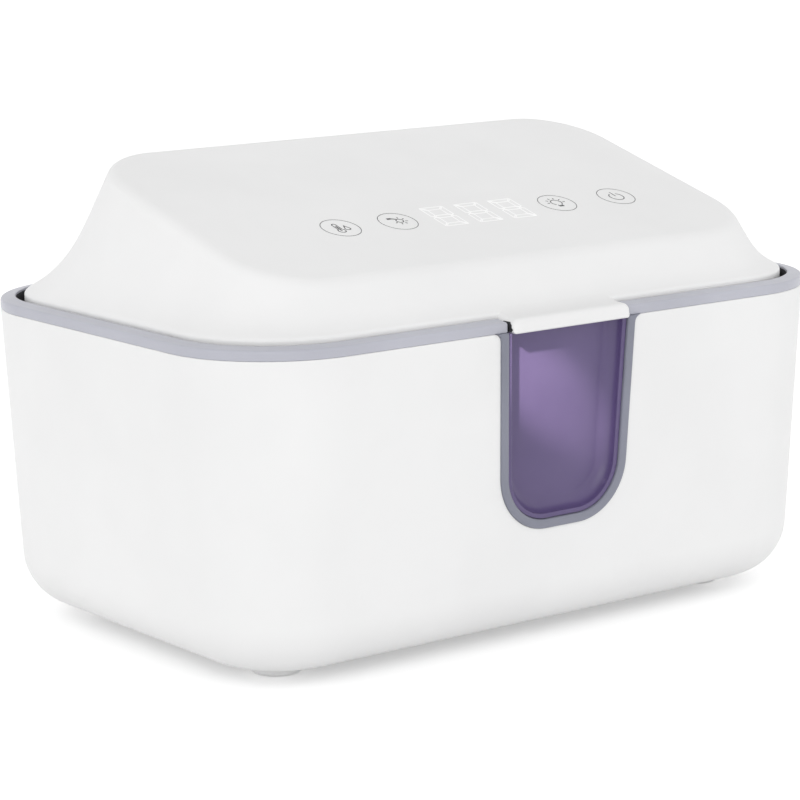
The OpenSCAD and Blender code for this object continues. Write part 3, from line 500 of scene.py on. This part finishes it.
# %% The finished housing
foot_mesh = mesh_object("feet", feet)
place_piece(housing, "base", WHITE_ABS, ["outer_housing"])
place_piece(foot_mesh, "base", WHITE_ABS)

# %% [markdown]
# ## The rim
# A glossy lavender-grey band caps the wall. Its section has a straight outer face with a
# round on top and rises a little inwards. The band stops on both sides of the lifting tab,
# so it is an open sweep: the section travels from one side of the tab round the back to
# the other side, and shrinks over the last millimetre to round its ends off.

# %% The band round the rim
BAND_H, BAND_W, BAND_EDGE = 3.1, 4.7, 0.9
LEDGE_DROP, LEDGE_T, LEDGE_IN, TONGUE_IN, TONGUE_T, TONGUE_H = 1.6, 2, 13.5, 3.2, 1.8, 6
FRAME_W, END_ROUND = 3, 0.7
edge_turn = np.radians(np.linspace(180, 94, 8))
band_section = np.concatenate([
    [[0.15, 0.0], [0, 0.15]],
    np.stack([BAND_EDGE*(1 + np.cos(edge_turn)),
              BAND_H - BAND_EDGE*(1 - np.sin(edge_turn))], 1),
    [[2.4, 3.32], [BAND_W - 0.75, 3.62], [BAND_W - 0.4, 3.66], [BAND_W - 0.12, 3.56],
     [BAND_W, 3.3], [BAND_W, -LEDGE_DROP - 0.4], [TONGUE_IN + TONGUE_T, -LEDGE_DROP - 0.4],
     [TONGUE_IN + TONGUE_T, -TONGUE_H], [TONGUE_IN, -TONGUE_H], [TONGUE_IN, -0.4],
     [WALL + 0.3, 0]]])
print(len(band_section), "points in the band's section")


# %% Sections that shrink towards an end
def mitres(points, closed=True):
    """Directions that offset a line evenly: the sum of the two normals at each corner,
    divided by one plus their product, so that straight parts keep their distance."""
    step = np.diff(np.concatenate([points, points[:1]]), axis=0)
    step = step if closed else step[:-1]
    normal = np.stack([step[:, 1], -step[:, 0]], 1)/np.linalg.norm(step, axis=1)[:, None]
    if closed:
        before, after = np.roll(normal, 1, 0), normal
    else:
        before = np.concatenate([normal[:1], normal])
        after = np.concatenate([normal, normal[-1:]])
    return (before + after)/(1 + (before*after).sum(1))[:, None]


def rounding(distance, r):
    """How far a quarter round of radius r has drawn back, `distance` from the end."""
    left = np.clip(r - distance, 0, r)
    return r - np.sqrt(r**2 - left**2)


# %% The band as one open sweep
shape, out = outline(BODY_W/2, BODY_W/2, -BODY_D/2, BODY_D/2, BODY_R, 30, (1, 1, 2, 1))
middle = int(np.flatnonzero(np.abs(shape[:, 0]) < 1e-6)[-1])
shape, out = np.roll(shape, -middle, 0)[1:], np.roll(out, -middle, 0)[1:]
into = END_ROUND*np.array([0, 0.04, 0.15, 0.35, 0.65, 1])
ends = np.stack([WINDOW_W/2 - FRAME_W + into, np.full(6, -BODY_D/2)], 1)
path = np.concatenate([ends, shape, (ends*[-1, 1])[::-1]])
facing = np.concatenate([np.tile([0.0, -1.0], (6, 1)), out, np.tile([0.0, -1.0], (6, 1))])
drawn = np.concatenate([into, np.full(len(shape), END_ROUND), into[::-1]])
side = np.sign((np.roll(band_section[:, 0], -1)*band_section[:, 1]
                - band_section[:, 0]*np.roll(band_section[:, 1], -1)).sum())
section = band_section + side*rounding(drawn, END_ROUND)[:, None, None]*mitres(band_section)
rows = np.concatenate([path[:, None] - section[..., :1]*facing[:, None],
                       RIM_Z + section[..., 1:]], 2)
band = mesh_object("rim_band", [skin(rows)], 50)
place_piece(band, "base", RIM_ABS, ["rim_frame"])

# %% [markdown]
# Inside the band a ledge carries the tank. At the front it makes room for the window's
# trim. It shows only while the lid is open, as the floor of a channel round the tank.

# %% The ledge
ledge_in = np.array([BAND_W - 0.3, LEDGE_IN, LEDGE_IN, BAND_W - 0.3])
ledge_z = RIM_Z - LEDGE_DROP - np.array([0, 0, LEDGE_T, LEDGE_T])
ledge = mesh_object("rim_ledge", [skin(rings(RIM_SHAPE, ledge_in, ledge_z), wound=True)])
TRIM_BACK, TRIM_ROOM = 7.4, 3
room = WINDOW_W/2 + TRIM_ROOM
cut_away(ledge, [front_block(np.array([[-room, -9], [room, -9], [room, 0.4], [-room, 0.4]]),
                             WALL, TRIM_BACK + 0.1)])
place_piece(ledge, "base", RIM_ABS)

# %% [markdown]
# A thin charcoal sheet of painted shade lines the channel between the band and the lid:
# it lies on the ledge and runs up the band's inner wall, so the channel looks as dark as a
# deep shadowed gap. It is open at the tab too.

# %% Painted shade sheet in the channel
STRIP_T, STRIP_UP, STRIP_END = 0.2, 2.9, 8.9
strip_section = np.array([
    [BAND_W, STRIP_UP], [BAND_W + STRIP_T, STRIP_UP], [BAND_W + STRIP_T, STRIP_T - LEDGE_DROP],
    [STRIP_END, STRIP_T - LEDGE_DROP], [STRIP_END, -LEDGE_DROP], [BAND_W, -LEDGE_DROP]])
rows = np.concatenate([
    path[:, None] - strip_section[:, :1]*facing[:, None],
    np.broadcast_to(RIM_Z + strip_section[:, 1:], (len(path), len(strip_section), 1))], 2)
place_piece(mesh_object("channel_painted_shade", [skin(rows)], 50), "base", PAINTED_SHADE_CHARCOAL)

# %% [markdown]
# Five ears stand up from the band at the back. Two pairs hold the hinge pins and the one
# in the middle leads the wires into the lid. An ear is a flat shape with a round top, and
# a hole follows the hinge's axis through it.

# %% Ears with a hole on the hinge's axis
HINGE_Y, HINGE_Z, KNUCKLE_R = BODY_D/2 - 2, RIM_Z + 8.3, 3.6
HINGE_X, KNUCKLE_W, EAR_W, GAP, PIN_R = 50, 15, 8, 0.3, 1.5
PIN_HELD, PIN_TURNS = 0.02, 0.05               # play of the pin in an ear and in an arm
DUCT_X, DUCT_BORE, DUCT_ARM_W = 8, 1.9, 12     # the middle pair, which takes the wires


def drilled(section, x0, x1, bore, edge=0.5):
    """A flat shape across x with rounded edges and a hole on the hinge's axis.

    Each point of the hole lies on the line from the axis to a point of the outline, so
    the outline, the hole and the two faces between them are rows of one wound skin.
    """
    axis = np.array([HINGE_Y, HINGE_Z])
    rays = section - axis
    length = np.linalg.norm(rays, axis=1)[:, None]
    hole = axis + rays/length*bore
    turn = np.radians([0, 30, 60, 90])
    drawn = edge*(1 - np.sin(turn))
    depth = edge*(1 - np.cos(turn))
    outer = [axis + rays*(1 - d/length) for d in drawn]
    flat = [hole] + outer + outer[::-1] + [hole]
    across = np.concatenate([[x0], x0 + depth, x1 - depth[::-1], [x1]])
    rows = np.stack([np.concatenate([np.full((len(f), 1), x), f], 1)
                     for x, f in zip(across, flat)])
    return skin(rows, wound=True)


def along(corners, steps=8):
    """Points on the straight lines between corners, so that a hole can match them."""
    corners = np.asarray(corners, float)
    share = np.arange(steps)[:, None, None]/steps
    line = corners[:-1]*(1 - share) + corners[1:]*share
    return line.transpose(1, 0, 2).reshape(-1, 2)


arc = np.radians(np.linspace(-56.25, 180, 36))
round_top = np.stack([HINGE_Y + KNUCKLE_R*np.cos(arc), HINGE_Z + KNUCKLE_R*np.sin(arc)], 1)
ear_shape = np.concatenate([round_top, along([
    [HINGE_Y - KNUCKLE_R, HINGE_Z], [HINGE_Y - 3.2, RIM_Z + 2.6], [HINGE_Y + 1.4, RIM_Z + 2.6],
    round_top[0]])[1:]])
ear_in = KNUCKLE_W/2 + GAP
spans = [(s*HINGE_X + a, s*HINGE_X + a + EAR_W)
         for s in (-1, 1) for a in (ear_in, -ear_in - EAR_W)]
ears = [drilled(ear_shape, a, b, PIN_R + PIN_HELD) for a, b in spans]
ears.append(drilled(ear_shape, -DUCT_X - EAR_W/2, -DUCT_X + EAR_W/2, DUCT_BORE))
place_piece(mesh_object("hinge_ears", ears, 50), "base", RIM_ABS)

# %% [markdown]
# ## The window
# The trim is a section that travels round the window's outline. Each point of the section
# has its own inset, so the whole trim is the outline drawn once per section point. At the
# top its outer edge flares out under the band, and its face stands a little proud.

# %% Trim round the window
PROUD, SEAT = 0.8, 2.9
trim_section = np.array([
    [0.1, SEAT], [0.1, -0.2], [0.14, -0.42], [0.26, -0.62], [0.45, -0.74], [0.8, -PROUD],
    [1.5, -PROUD - 0.04], [2.2, -PROUD + 0.02], [2.55, -0.7], [2.8, -0.55], [2.95, -0.3],
    [3.0, 0.0], [3.0, SEAT], [1.2, SEAT], [1.2, TRIM_BACK], [-1.6, TRIM_BACK],
    [-1.6, 2.7], [0.1, 2.7]])
spread = FLARE*np.clip(1 - trim_section[:, 0]/FRAME_W, 0, 1)*(trim_section[:, 1] < SEAT)
spread[-2:] = 0
lines = [window_path(i, -0.02, f) for (i, d), f in zip(trim_section, spread)]
rows = np.stack([on_front(line[:, 0], d, line[:, 1])
                 for line, (i, d) in zip(lines, trim_section)], 1)
place_piece(mesh_object("window_trim_face", [skin(rows)], 50), "base", TRIM_ABS,
            ["window_trim"])

# %% [markdown]
# The lens is a dish of tinted polycarbonate. Fingertips reach into it to lift the tab, so
# its walls curve into its floor instead of meeting it at a corner. It is open at the top.

# %% Lens with a scooped floor
RECESS, LENS_T, LENS_EDGE, SCOOP = 4.6, 1.8, 0.2, 4.2
scoop = np.radians(np.linspace(0, 90, 12))
lens_section = np.concatenate([
    [[10, RECESS + LENS_T], [3.1, RECESS + LENS_T], [3.1, LENS_EDGE + 0.15],
     [3.2, LENS_EDGE], [4.3, LENS_EDGE], [4.5, LENS_EDGE + 0.1]],
    np.stack([4.6 + SCOOP*(1 - np.cos(scoop)), RECESS - SCOOP*(1 - np.sin(scoop))], 1)])
LENS_TOP = -0.7
lines = [window_path(i, LENS_TOP) for i, d in lens_section]
rows = np.stack([on_front(line[:, 0], d, line[:, 1])
                 for line, (i, d) in zip(lines, lens_section)])
points, faces = skin(rows, closed=False)
count, length = rows.shape[:2]
index = np.arange(count*length).reshape(count, length)
faces.append(np.concatenate([index[:, 0], index[::-1, -1]]).tolist())
dish = place_piece(mesh_object("window_lens_dish", [(points, faces)], 50), "base", LENS_PC,
                   ["window_lens"])

# %% [markdown]
# ## The tank
# The tank is a drawn tub with a flange that rests on the ledge. The pack of wipes lies in
# it, so its corners are generous and its walls lean. Its section is swept like the
# housing's.

# %% Tank
TANK_INSET, TANK_H, TANK_WALL, TANK_R, FLANGE_T = 14, 70, 2, 10, 2
TANK_LEAN = math.radians(1.5)
TANK_TOP = RIM_Z - LEDGE_DROP + FLANGE_T
TANK_Z = TANK_TOP - TANK_H
FLANGE_IN = 9.5
turn = np.radians(np.linspace(0, 90, 13))
outer_z = TANK_Z + TANK_R*(1 - np.cos(turn))
outer_in = TANK_INSET + (TANK_TOP - outer_z)*math.tan(TANK_LEAN) + TANK_R*(1 - np.sin(turn))
inner_r = TANK_R - TANK_WALL
inner_z = TANK_Z + TANK_WALL + inner_r*(1 - np.cos(turn[::-1]))
inner_in = (TANK_INSET + TANK_WALL + (TANK_TOP - inner_z)*math.tan(TANK_LEAN)
            + inner_r*(1 - np.sin(turn[::-1])))
tank_in = np.concatenate([outer_in, [TANK_INSET, FLANGE_IN, FLANGE_IN, FLANGE_IN + 0.3,
                                     TANK_INSET + TANK_WALL - 0.8, TANK_INSET + TANK_WALL],
                          inner_in])
tank_z = np.concatenate([outer_z, TANK_TOP - np.array([FLANGE_T, FLANGE_T, 0.3, 0, 0, 0.8]),
                         inner_z])
tank = mesh_object("wipe_tank", [skin(rings(RIM_SHAPE, tank_in, tank_z))])
place_piece(tank, "base", PEARL_PP, ["container"])

# %% [markdown]
# ## The lid
# The lid rises from a short upright skirt through a hollow flank to a tilted control
# plateau. The flank is a cubic curve between two outlines: one follows the rim, the other
# is the plateau's edge. Where the flank reaches the plateau a round takes over at the
# flank's own slope, so that no crease shows. The lid stands further inside the rim at the
# back, where the hinge needs room, than at the front and sides. Its corners are rounder
# than the band's inside, so the gap to the band opens there.

# %% Sizes of the lid
LID_INSET, LID_ASIDE, LID_R, LID_WALL = 7, 5.8, 33.3, 2.4
SKIRT_Z, LIP_Z, PLATEAU_Z = RIM_Z + 1.4, RIM_Z + 5, RIM_Z + 48.4
TILT = math.radians(16.05)
PLATEAU_BACK, PLATEAU_FRONT, PLATEAU_HALF, SPREAD = 39.2, 64.6, 98.15, 0.0061
PLATEAU_R, EDGE_R = 25.2, 4.6
RUN_HANDLES, RISE_HANDLES = (0.565, 0.665), (0.2367, 0.5031)
LID_CORNER, LID_SIDES = 40, (8, 8, 8, 8)
LID_FOOT = outline(BODY_W/2 - LID_ASIDE, BODY_W/2 - LID_ASIDE, LID_ASIDE - BODY_D/2,
                   BODY_D/2 - LID_INSET, LID_R, LID_CORNER, LID_SIDES)
LID_TOP = outline(PLATEAU_HALF + SPREAD*(PLATEAU_BACK + PLATEAU_FRONT), PLATEAU_HALF,
                  -PLATEAU_FRONT, PLATEAU_BACK, PLATEAU_R, LID_CORNER, LID_SIDES)


def cubic(s, handles):
    """A cubic curve from 0 to 1 with two inner handles."""
    return 3*(1 - s)**2*s*handles[0] + 3*(1 - s)*s**2*handles[1] + s**3


def plateau_level(y, t=0.0):
    """Height of the tilted plateau above y, a thickness t inside the lid."""
    return PLATEAU_Z - t/math.cos(TILT) - (PLATEAU_BACK - y)*math.tan(TILT)


# %% Rows of the lid's surface
def lid_rows(t, flank_steps=36, round_steps=12):
    """The lid's surface moved into the wall by t, from the skirt's lower edge upwards."""
    out = LID_FOOT[1]
    foot = LID_FOOT[0] - t*out
    low, r = LIP_Z - t/2, EDGE_R - 0.9*t
    # The round starts at the flank's slope there: its tangent is the flank's last run over
    # its last rise. That angle also moves the flank's end, so both are settled in turns.
    meet = np.zeros(len(out))
    for _ in range(5):
        end = LID_TOP[0] - (t + r*(1 - np.cos(meet)))[:, None]*out
        end_z = plateau_level(end[:, 1], t) - r*(1 - np.sin(meet))
        run = np.linalg.norm(end - foot, axis=1)
        meet = np.arctan2((1 - RUN_HANDLES[1])*run, (1 - RISE_HANDLES[1])*(end_z - low))
    s = np.linspace(0.05, 1, flank_steps)[:, None]
    u, v = cubic(s, RUN_HANDLES), cubic(s, RISE_HANDLES)
    flank = np.concatenate([foot + u[..., None]*(end - foot),
                            (low + v*(end_z - low))[..., None]], 2)
    corner = np.concatenate([foot, np.full((len(foot), 1), low)], 1)
    w = np.linspace(0, 1, 6)[:-1, None, None]
    lip = (1 - w)**2*(corner - [0, 0, 0.9]) + 2*w*(1 - w)*corner + w**2*flank[0]
    skirt = np.stack([corner*[1, 1, 0] + [0, 0, SKIRT_Z]])
    a = meet + (math.pi/2 - meet)*np.linspace(0, 1, round_steps + 1)[1:, None]
    over = LID_TOP[0] - (t + r*(1 - np.cos(a)))[..., None]*out
    over_z = plateau_level(over[..., 1], t) - r*(1 - np.sin(a))
    return np.concatenate([skirt, lip, flank, np.concatenate([over, over_z[..., None]], 2)])


lid_outside, lid_inside = lid_rows(0), lid_rows(LID_WALL)
lid_skin = skin(np.concatenate([lid_inside[::-1], lid_outside]))
print(lid_outside.shape, "rows and points of the lid's outside")

# %% [markdown]
# The lifting tab flows out of the front flank and ends in an upright face with soft
# corners. It is one closed section that travels across the lid. The section's top starts
# on the flank's own curve, and near both ends the section shrinks, more at the top than
# at the bottom, which gives the corners their two radii.

# %% Lifting tab
TAB_HALF, TAB_FRONT, TAB_LOW, TAB_HIGH = 22.8, -BODY_D/2 - 2.3, RIM_Z - 0.4, RIM_Z + 4.6
NOSE_R, SOLE_R = 1.9, 0.7                      # rounds at the face's top and at its bottom
SOFT_LOW, SOFT_HIGH = 1.2, 2.4                 # rounds of its two side corners
mid = int(np.argmin(np.abs(lid_outside[0, :, 0]) + (lid_outside[0, :, 1] > 0)*1e3))
front_line = lid_outside[6:, mid, 1:]                      # flank in the lid's middle
start = 5
root = front_line[start:start + 5][::-1] - [0, 0.12]
heading = front_line[start] - front_line[start + 1]
heading = heading/np.linalg.norm(heading)
w = np.linspace(0, 1, 14)[1:, None]
first, last = front_line[start], np.array([TAB_FRONT + NOSE_R, TAB_HIGH - 0.45])
pull = first + heading*3.4
flow = (1 - w)**3*first + 3*(1 - w)**2*w*pull + 3*(1 - w)*w**2*(last + [2.4, 0.12]) + w**3*last
nose = np.radians(np.linspace(86, 8, 9))[:, None]
nose = last - [0, NOSE_R] + NOSE_R*np.concatenate([-np.cos(nose), np.sin(nose)], 1)
sole = np.radians(np.linspace(0, 90, 6))[:, None]
sole = [TAB_FRONT + SOLE_R, TAB_LOW + SOLE_R] + SOLE_R*np.concatenate(
    [-np.cos(sole), -np.sin(sole)], 1)
tab_section = np.concatenate([root, flow, nose, sole, [[-BODY_D/2 + 2, TAB_LOW + 0.1],
                                                      [root[0, 0], TAB_LOW + 0.2]]])
soft_r = np.interp(tab_section[:, 1], [TAB_LOW, TAB_HIGH], [SOFT_LOW, SOFT_HIGH])
half_x = TAB_HALF - SOFT_HIGH*np.array([0, 0.02, 0.08, 0.18, 0.32, 0.5, 0.72, 1])
across = np.concatenate([-half_x, half_x[::-1]])
drawn = (TAB_HALF - np.abs(across))[:, None]
turned_in = mitres(tab_section)
inward = np.sign(((tab_section.mean(0) - tab_section)*turned_in).sum())
section = tab_section + inward*turned_in*rounding(drawn, soft_r)[..., None]
rows = np.concatenate([np.broadcast_to(across[:, None, None], section.shape[:2] + (1,)),
                       section], 2)
tab_skin = skin(rows)

# %% [markdown]
# At the back three arms reach from the flank to the hinge's axis: two turn on the pins and
# the middle one takes the wires. They are drilled like the ears they run between.

# %% Arms on the hinge's axis
ARM_HIGH, ARM_LOW = [63.4, 110.2], [66.5, 106.0]     # where an arm ends in the flank
arc = np.radians(np.linspace(-90, 90, 30))
round_end = np.stack([HINGE_Y + KNUCKLE_R*np.cos(arc), HINGE_Z + KNUCKLE_R*np.sin(arc)], 1)
arm_shape = np.concatenate([round_end, along([
    [HINGE_Y, HINGE_Z + KNUCKLE_R], ARM_HIGH, ARM_LOW,
    [BODY_D/2 - LID_INSET - 1.2, HINGE_Z - KNUCKLE_R], [HINGE_Y, HINGE_Z - KNUCKLE_R]])[1:]])
arms = [drilled(arm_shape, s*HINGE_X - KNUCKLE_W/2, s*HINGE_X + KNUCKLE_W/2,
                PIN_R + PIN_TURNS) for s in (-1, 1)]
arm_x = -DUCT_X + EAR_W/2 + GAP
arms.append(drilled(arm_shape, arm_x, arm_x + DUCT_ARM_W, DUCT_BORE))
lid = mesh_object("lid", [lid_skin, tab_skin, *arms], 50)
place_piece(lid, "lid", WHITE_ABS, ["lid_shell"])

# %% [markdown]
# Between the tab and the band's two ends is a narrow slot. A thin charcoal sheet of painted
# shade on each side of the tab makes the slot look dark. It starts behind the tab's round
# corner, so only the side that faces the slot is seen.

# %% Painted shade sheets on the tab's two sides
SHADE_SHEET_T = 0.15
shade_sheet_shape = np.array([
    [TAB_FRONT + 1.5, TAB_LOW + 0.5], [TAB_FRONT + 1.5, TAB_HIGH - 2.4],
    [TAB_FRONT + 2.5, TAB_HIGH - 1.5],
    [-BODY_D/2 + 3, TAB_HIGH - 1.5], [-BODY_D/2 + 3, TAB_LOW + 0.5]])
shade_sheets = [extruded(shade_sheet_shape, s*(TAB_HALF - 0.6), s*(TAB_HALF + SHADE_SHEET_T), "x") for s in (-1, 1)]
place_piece(mesh_object("tab_side_painted_shade", shade_sheets), "lid", PAINTED_SHADE_CHARCOAL)

# %% [markdown]
# ## What is printed on the panel
# Four thin rings mark the touch keys, each with a small sign, and three outlined digits
# show where the display shines through. Ink is a few hundredths of a millimetre thick, so
# each line is a flat strip of that height, placed in the plateau's own frame.

# %% Strips of ink on the plateau
INK_UP, INK_DOWN = 0.035, -0.03
KEYS_DOWN, KEYS_X, DISPLAY_X = 72.7, (-48.3, -26.8, 36.5, 61.2), 4.5


def on_plateau(x, up_slope, out):
    """Places points of the plateau: across, up its slope and out of its surface."""
    x, up_slope, out = np.broadcast_arrays(x, up_slope, out)
    return np.stack([x, PLATEAU_BACK + up_slope*math.cos(TILT) - out*math.sin(TILT),
                     PLATEAU_Z + up_slope*math.sin(TILT) + out*math.cos(TILT)], -1)


def strip(line, width, centre, closed=False):
    """A line of ink: both edges lie half the width to the side of the drawn line."""
    line = np.asarray(line, float) + [centre, -KEYS_DOWN]
    side = mitres(line, closed)*width/2
    edges = np.stack([line - side, line + side, line + side, line - side])
    height = np.array([INK_DOWN, INK_DOWN, INK_UP, INK_UP])[:, None]
    return skin(on_plateau(edges[..., 0], edges[..., 1], height), wound=True, closed=closed)


def arc_line(x, y, r, start, end, steps=40):
    """Points on part of a circle, with its angles in degrees."""
    a = np.radians(np.linspace(start, end, steps))
    return np.stack([x + r*np.cos(a), y + r*np.sin(a)], 1)


# %% Dark ink: the rings and their signs
RING_R, LINE, FINE = 6.3, 0.21, 0.32
ring_line = arc_line(0, 0, RING_R, 0, 360, 97)[:-1]
signs = [strip(ring_line, LINE, x, True) for x in KEYS_X]
thermometer, heat, bulb, power = KEYS_X
signs += [
    strip(arc_line(-0.9, -2.0, 1.25, -232, 52, 30), FINE, thermometer),
    strip([[-1.6, -0.9], [-1.6, 2.4]], FINE, thermometer),
    strip(arc_line(-0.9, 2.4, 0.7, 180, 0, 14), FINE, thermometer),
    strip([[-0.2, 2.4], [-0.2, -0.9]], FINE, thermometer),
    strip([[-0.9, 1.4], [-0.9, -2.0]], 0.5, thermometer),
    strip(arc_line(1.9, -1.0, 0.9, -200, 20, 18), FINE, thermometer),
    strip([[1.06, -0.7], [1.9, 1.2], [2.74, -0.7]], FINE, thermometer)]
signs += [
    strip([[-2.6, 2.3], [-0.9, 2.3]], 1.0, heat),
    strip([[-0.9, 2.2], [0.4, 1.5]], 0.6, heat),
    strip(arc_line(0.9, 0.2, 1.2, 0, 360, 33)[:-1], FINE, heat, True)]
signs += [strip(np.array([[math.cos(a), math.sin(a)]])*[[1.8], [2.7]] + [0.9, 0.2],
                FINE, heat) for a in np.radians(np.arange(-150, 120, 45))]
signs += [
    strip(arc_line(0, 0.4, 1.9, -55, 235, 34), FINE, bulb),
    strip([[-0.8, -1.5], [-0.8, -2.3]], FINE, bulb),
    strip([[-0.95, -2.3], [0.95, -2.3]], 0.9, bulb),
    strip([[0.8, -2.3], [0.8, -1.5]], FINE, bulb)]
signs += [strip(np.array([[math.cos(a), math.sin(a)]])*[[2.6], [3.5]] + [0, 0.4], FINE, bulb)
          for a in np.radians(np.arange(0, 181, 36))]
signs += [strip(arc_line(0, -0.3, 2.5, 118, 422, 44), FINE, power),
          strip([[0, 0.2], [0, 3.4]], FINE, power)]
INK_DARK = finish("dark_grey_pad_printed_ink", "black_plastic", "38383A", "464648",
                  (0.5, 0.6), patch=4, grain_mm=0.4, bump_mm=0.004)
place_piece(mesh_object("printed_key_marks", signs, 50), "lid", INK_DARK, even=False)

# %% White ink with a painted glow: three outlined digits
DIGIT_W, DIGIT_H, PITCH, BAR, SLIT, OUTLINE = 8.8, 14.2, 13.55, 1.9, 0.3, 0.24
w, h, b, g = DIGIT_W/2, DIGIT_H/2, BAR, SLIT
top_bar = np.array([[g - w, h], [w - g, h], [w - b - g, h - b], [b + g - w, h - b]])
side_bar = np.array([[-w, h - g], [-w, g + b/4], [b/2 - w, g], [b - w, g + b/2],
                     [b - w, h - b - g]])
middle_bar = np.array([[b/2 + g - w, 0], [b + g - w, b/2], [w - b - g, b/2],
                       [w - b/2 - g, 0], [w - b - g, -b/2], [b + g - w, -b/2]])
bars = [top_bar, top_bar*[1, -1], middle_bar]
bars += [side_bar*[sx, sy] for sx in (-1, 1) for sy in (-1, 1)]
digits = [strip(bar, OUTLINE, DISPLAY_X + k*PITCH, True) for k in (-1, 0, 1) for bar in bars]
# Painted light: the white ink glows faintly, so the digits read brighter than lit white
# plastic.
WHITE_INK_AND_GLOW = finish("white_pad_printed_ink_painted_glow", "display_white", "FBFBFB", "FFFFFF",
                   (0.35, 0.45), patch=4, grain_mm=0.4, bump_mm=0.003,
                   **{"Emission Color": linear("FFFFFF"), "Emission Strength": 0.12})
place_piece(mesh_object("display_digits", digits, 50), "lid", WHITE_INK_AND_GLOW, even=False)

# %% [markdown]
# ## Studio
# The photograph is a bright product shot. Light comes from everywhere, most of it from
# low all round, and a wide soft source stands in front of the corner, so the upright faces
# are brighter than the tilted plateau. A small lamp high on the left lights the lens alone
# and draws the trim's and the tab's shadow into the recess. The floor and the world are
# white only to the camera and to reflections, so the background is white without more
# light on the product, and the floor keeps its shadow.

# %% Floor, world and key light
def seen_directly(tree):
    """One where a ray comes from the camera, a reflection or a transparent surface."""
    path = add(tree, "ShaderNodeLightPath")
    first = add(tree, "ShaderNodeMath", {0: path.outputs["Is Camera Ray"],
                                         1: path.outputs["Is Glossy Ray"]},
                operation="MAXIMUM")
    return add(tree, "ShaderNodeMath", {0: first.outputs[0],
                                        1: path.outputs["Is Transmission Ray"]},
               operation="MAXIMUM").outputs[0]


def aimed(light, toward, at):
    """Places a light at a point, with its back turned to the direction `toward`."""
    made = bpy.data.objects.new(light.name, light)
    bpy.context.scene.collection.objects.link(made)
    toward = np.asarray(toward, float)/np.linalg.norm(toward)
    across_x = np.cross([0, 0, 1], toward)
    across_x = across_x/np.linalg.norm(across_x)
    turned_to = np.eye(4)
    turned_to[:3] = np.stack([across_x, np.cross(toward, across_x), toward, at], 1)
    made.matrix_world = Matrix(turned_to.tolist())
    return made


HORIZON_LEVEL, ZENITH_LEVEL, FRONT_LEVEL, FLOOR_LIFT = 1.54, 0.45, 0.38, 0.34
world = bpy.data.worlds.new("studio")
bpy.context.scene.world = world
world.use_nodes = True
tree = world.node_tree
tree.nodes.clear()
heading = add(tree, "ShaderNodeTexCoord")
height = add(tree, "ShaderNodeSeparateXYZ", {"Vector": heading.outputs["Generated"]})
around = add(tree, "ShaderNodeMapRange", {"Value": height.outputs["Z"],
                                          "To Min": HORIZON_LEVEL, "To Max": ZENITH_LEVEL})
level = add(tree, "ShaderNodeMapRange", {"Value": seen_directly(tree),
                                         "To Min": around.outputs[0], "To Max": 1.0})
glow = add(tree, "ShaderNodeBackground", {"Color": linear("FFFFFF"),
                                          "Strength": level.outputs[0]})
add(tree, "ShaderNodeOutputWorld", {"Surface": glow.outputs[0]})

SOFTBOX_TOWARD, SOFTBOX_WIDTH = [-0.64, -0.64, 0.42], 50    # its width in degrees
front = bpy.data.lights.new("front_softbox", "SUN")
front.energy, front.angle = FRONT_LEVEL, math.radians(SOFTBOX_WIDTH)
aimed(front, SOFTBOX_TOWARD, [0, 0, 0])

# %% The small lamp for the window
LAMP_LEVEL, LAMP_AWAY, LAMP_R, LAMP_CONE = 2.9, 150, 3, 11.8
LAMP_TOWARD, PATCH_X, PATCH_UP = np.array([-0.695, -0.45, 0.56]), -8.5, -17.5
patch = on_front(PATCH_X, RECESS, PATCH_UP)
lamp =bpy.data.lights.new("window_lamp", "SPOT")
lamp.energy, lamp.shadow_soft_size = LAMP_LEVEL, LAMP_R/1000
lamp.spot_size, lamp.spot_blend = math.radians(LAMP_CONE), 0.9
lamp.color = (1.0, 0.98, 0.75)
lamp_object = aimed(lamp, LAMP_TOWARD, (patch + LAMP_AWAY*LAMP_TOWARD)/1000)
lamp_object.visible_glossy = False
lit = bpy.data.collections.new("lit_by_the_window_lamp")
lit.objects.link(dish)
lamp_object.light_linking.receiver_collection = lit
print("lamp at", [round(v, 3) for v in lamp_object.location])

# %% Floor
FLOOR_HALF = 12                                # metres from the middle to a side
paper = bpy.data.materials.new("white_paper_sweep")
paper.use_nodes = True
tree = paper.node_tree
tree.nodes.clear()
matt = add(tree, "ShaderNodeBsdfDiffuse", {"Color": linear("F4F4F4")})
lift = add(tree, "ShaderNodeMath", {0: seen_directly(tree), 1: FLOOR_LIFT},
           operation="MULTIPLY")
shine = add(tree, "ShaderNodeEmission", {"Color": linear("FFFFFF"),
                                         "Strength": lift.outputs[0]})
both = add(tree, "ShaderNodeAddShader", {0: matt.outputs[0], 1: shine.outputs[0]})
add(tree, "ShaderNodeOutputMaterial", {"Surface": both.outputs[0]})
mesh = bpy.data.meshes.new("floor")
mesh.from_pydata([[sx*FLOOR_HALF, sy*FLOOR_HALF, 0] for sx, sy in
                  ((-1, -1), (1, -1), (1, 1), (-1, 1))], [], [[0, 1, 2, 3]])
mesh.materials.append(paper)
floor = bpy.data.objects.new("floor", mesh)
bpy.context.scene.collection.objects.link(floor)
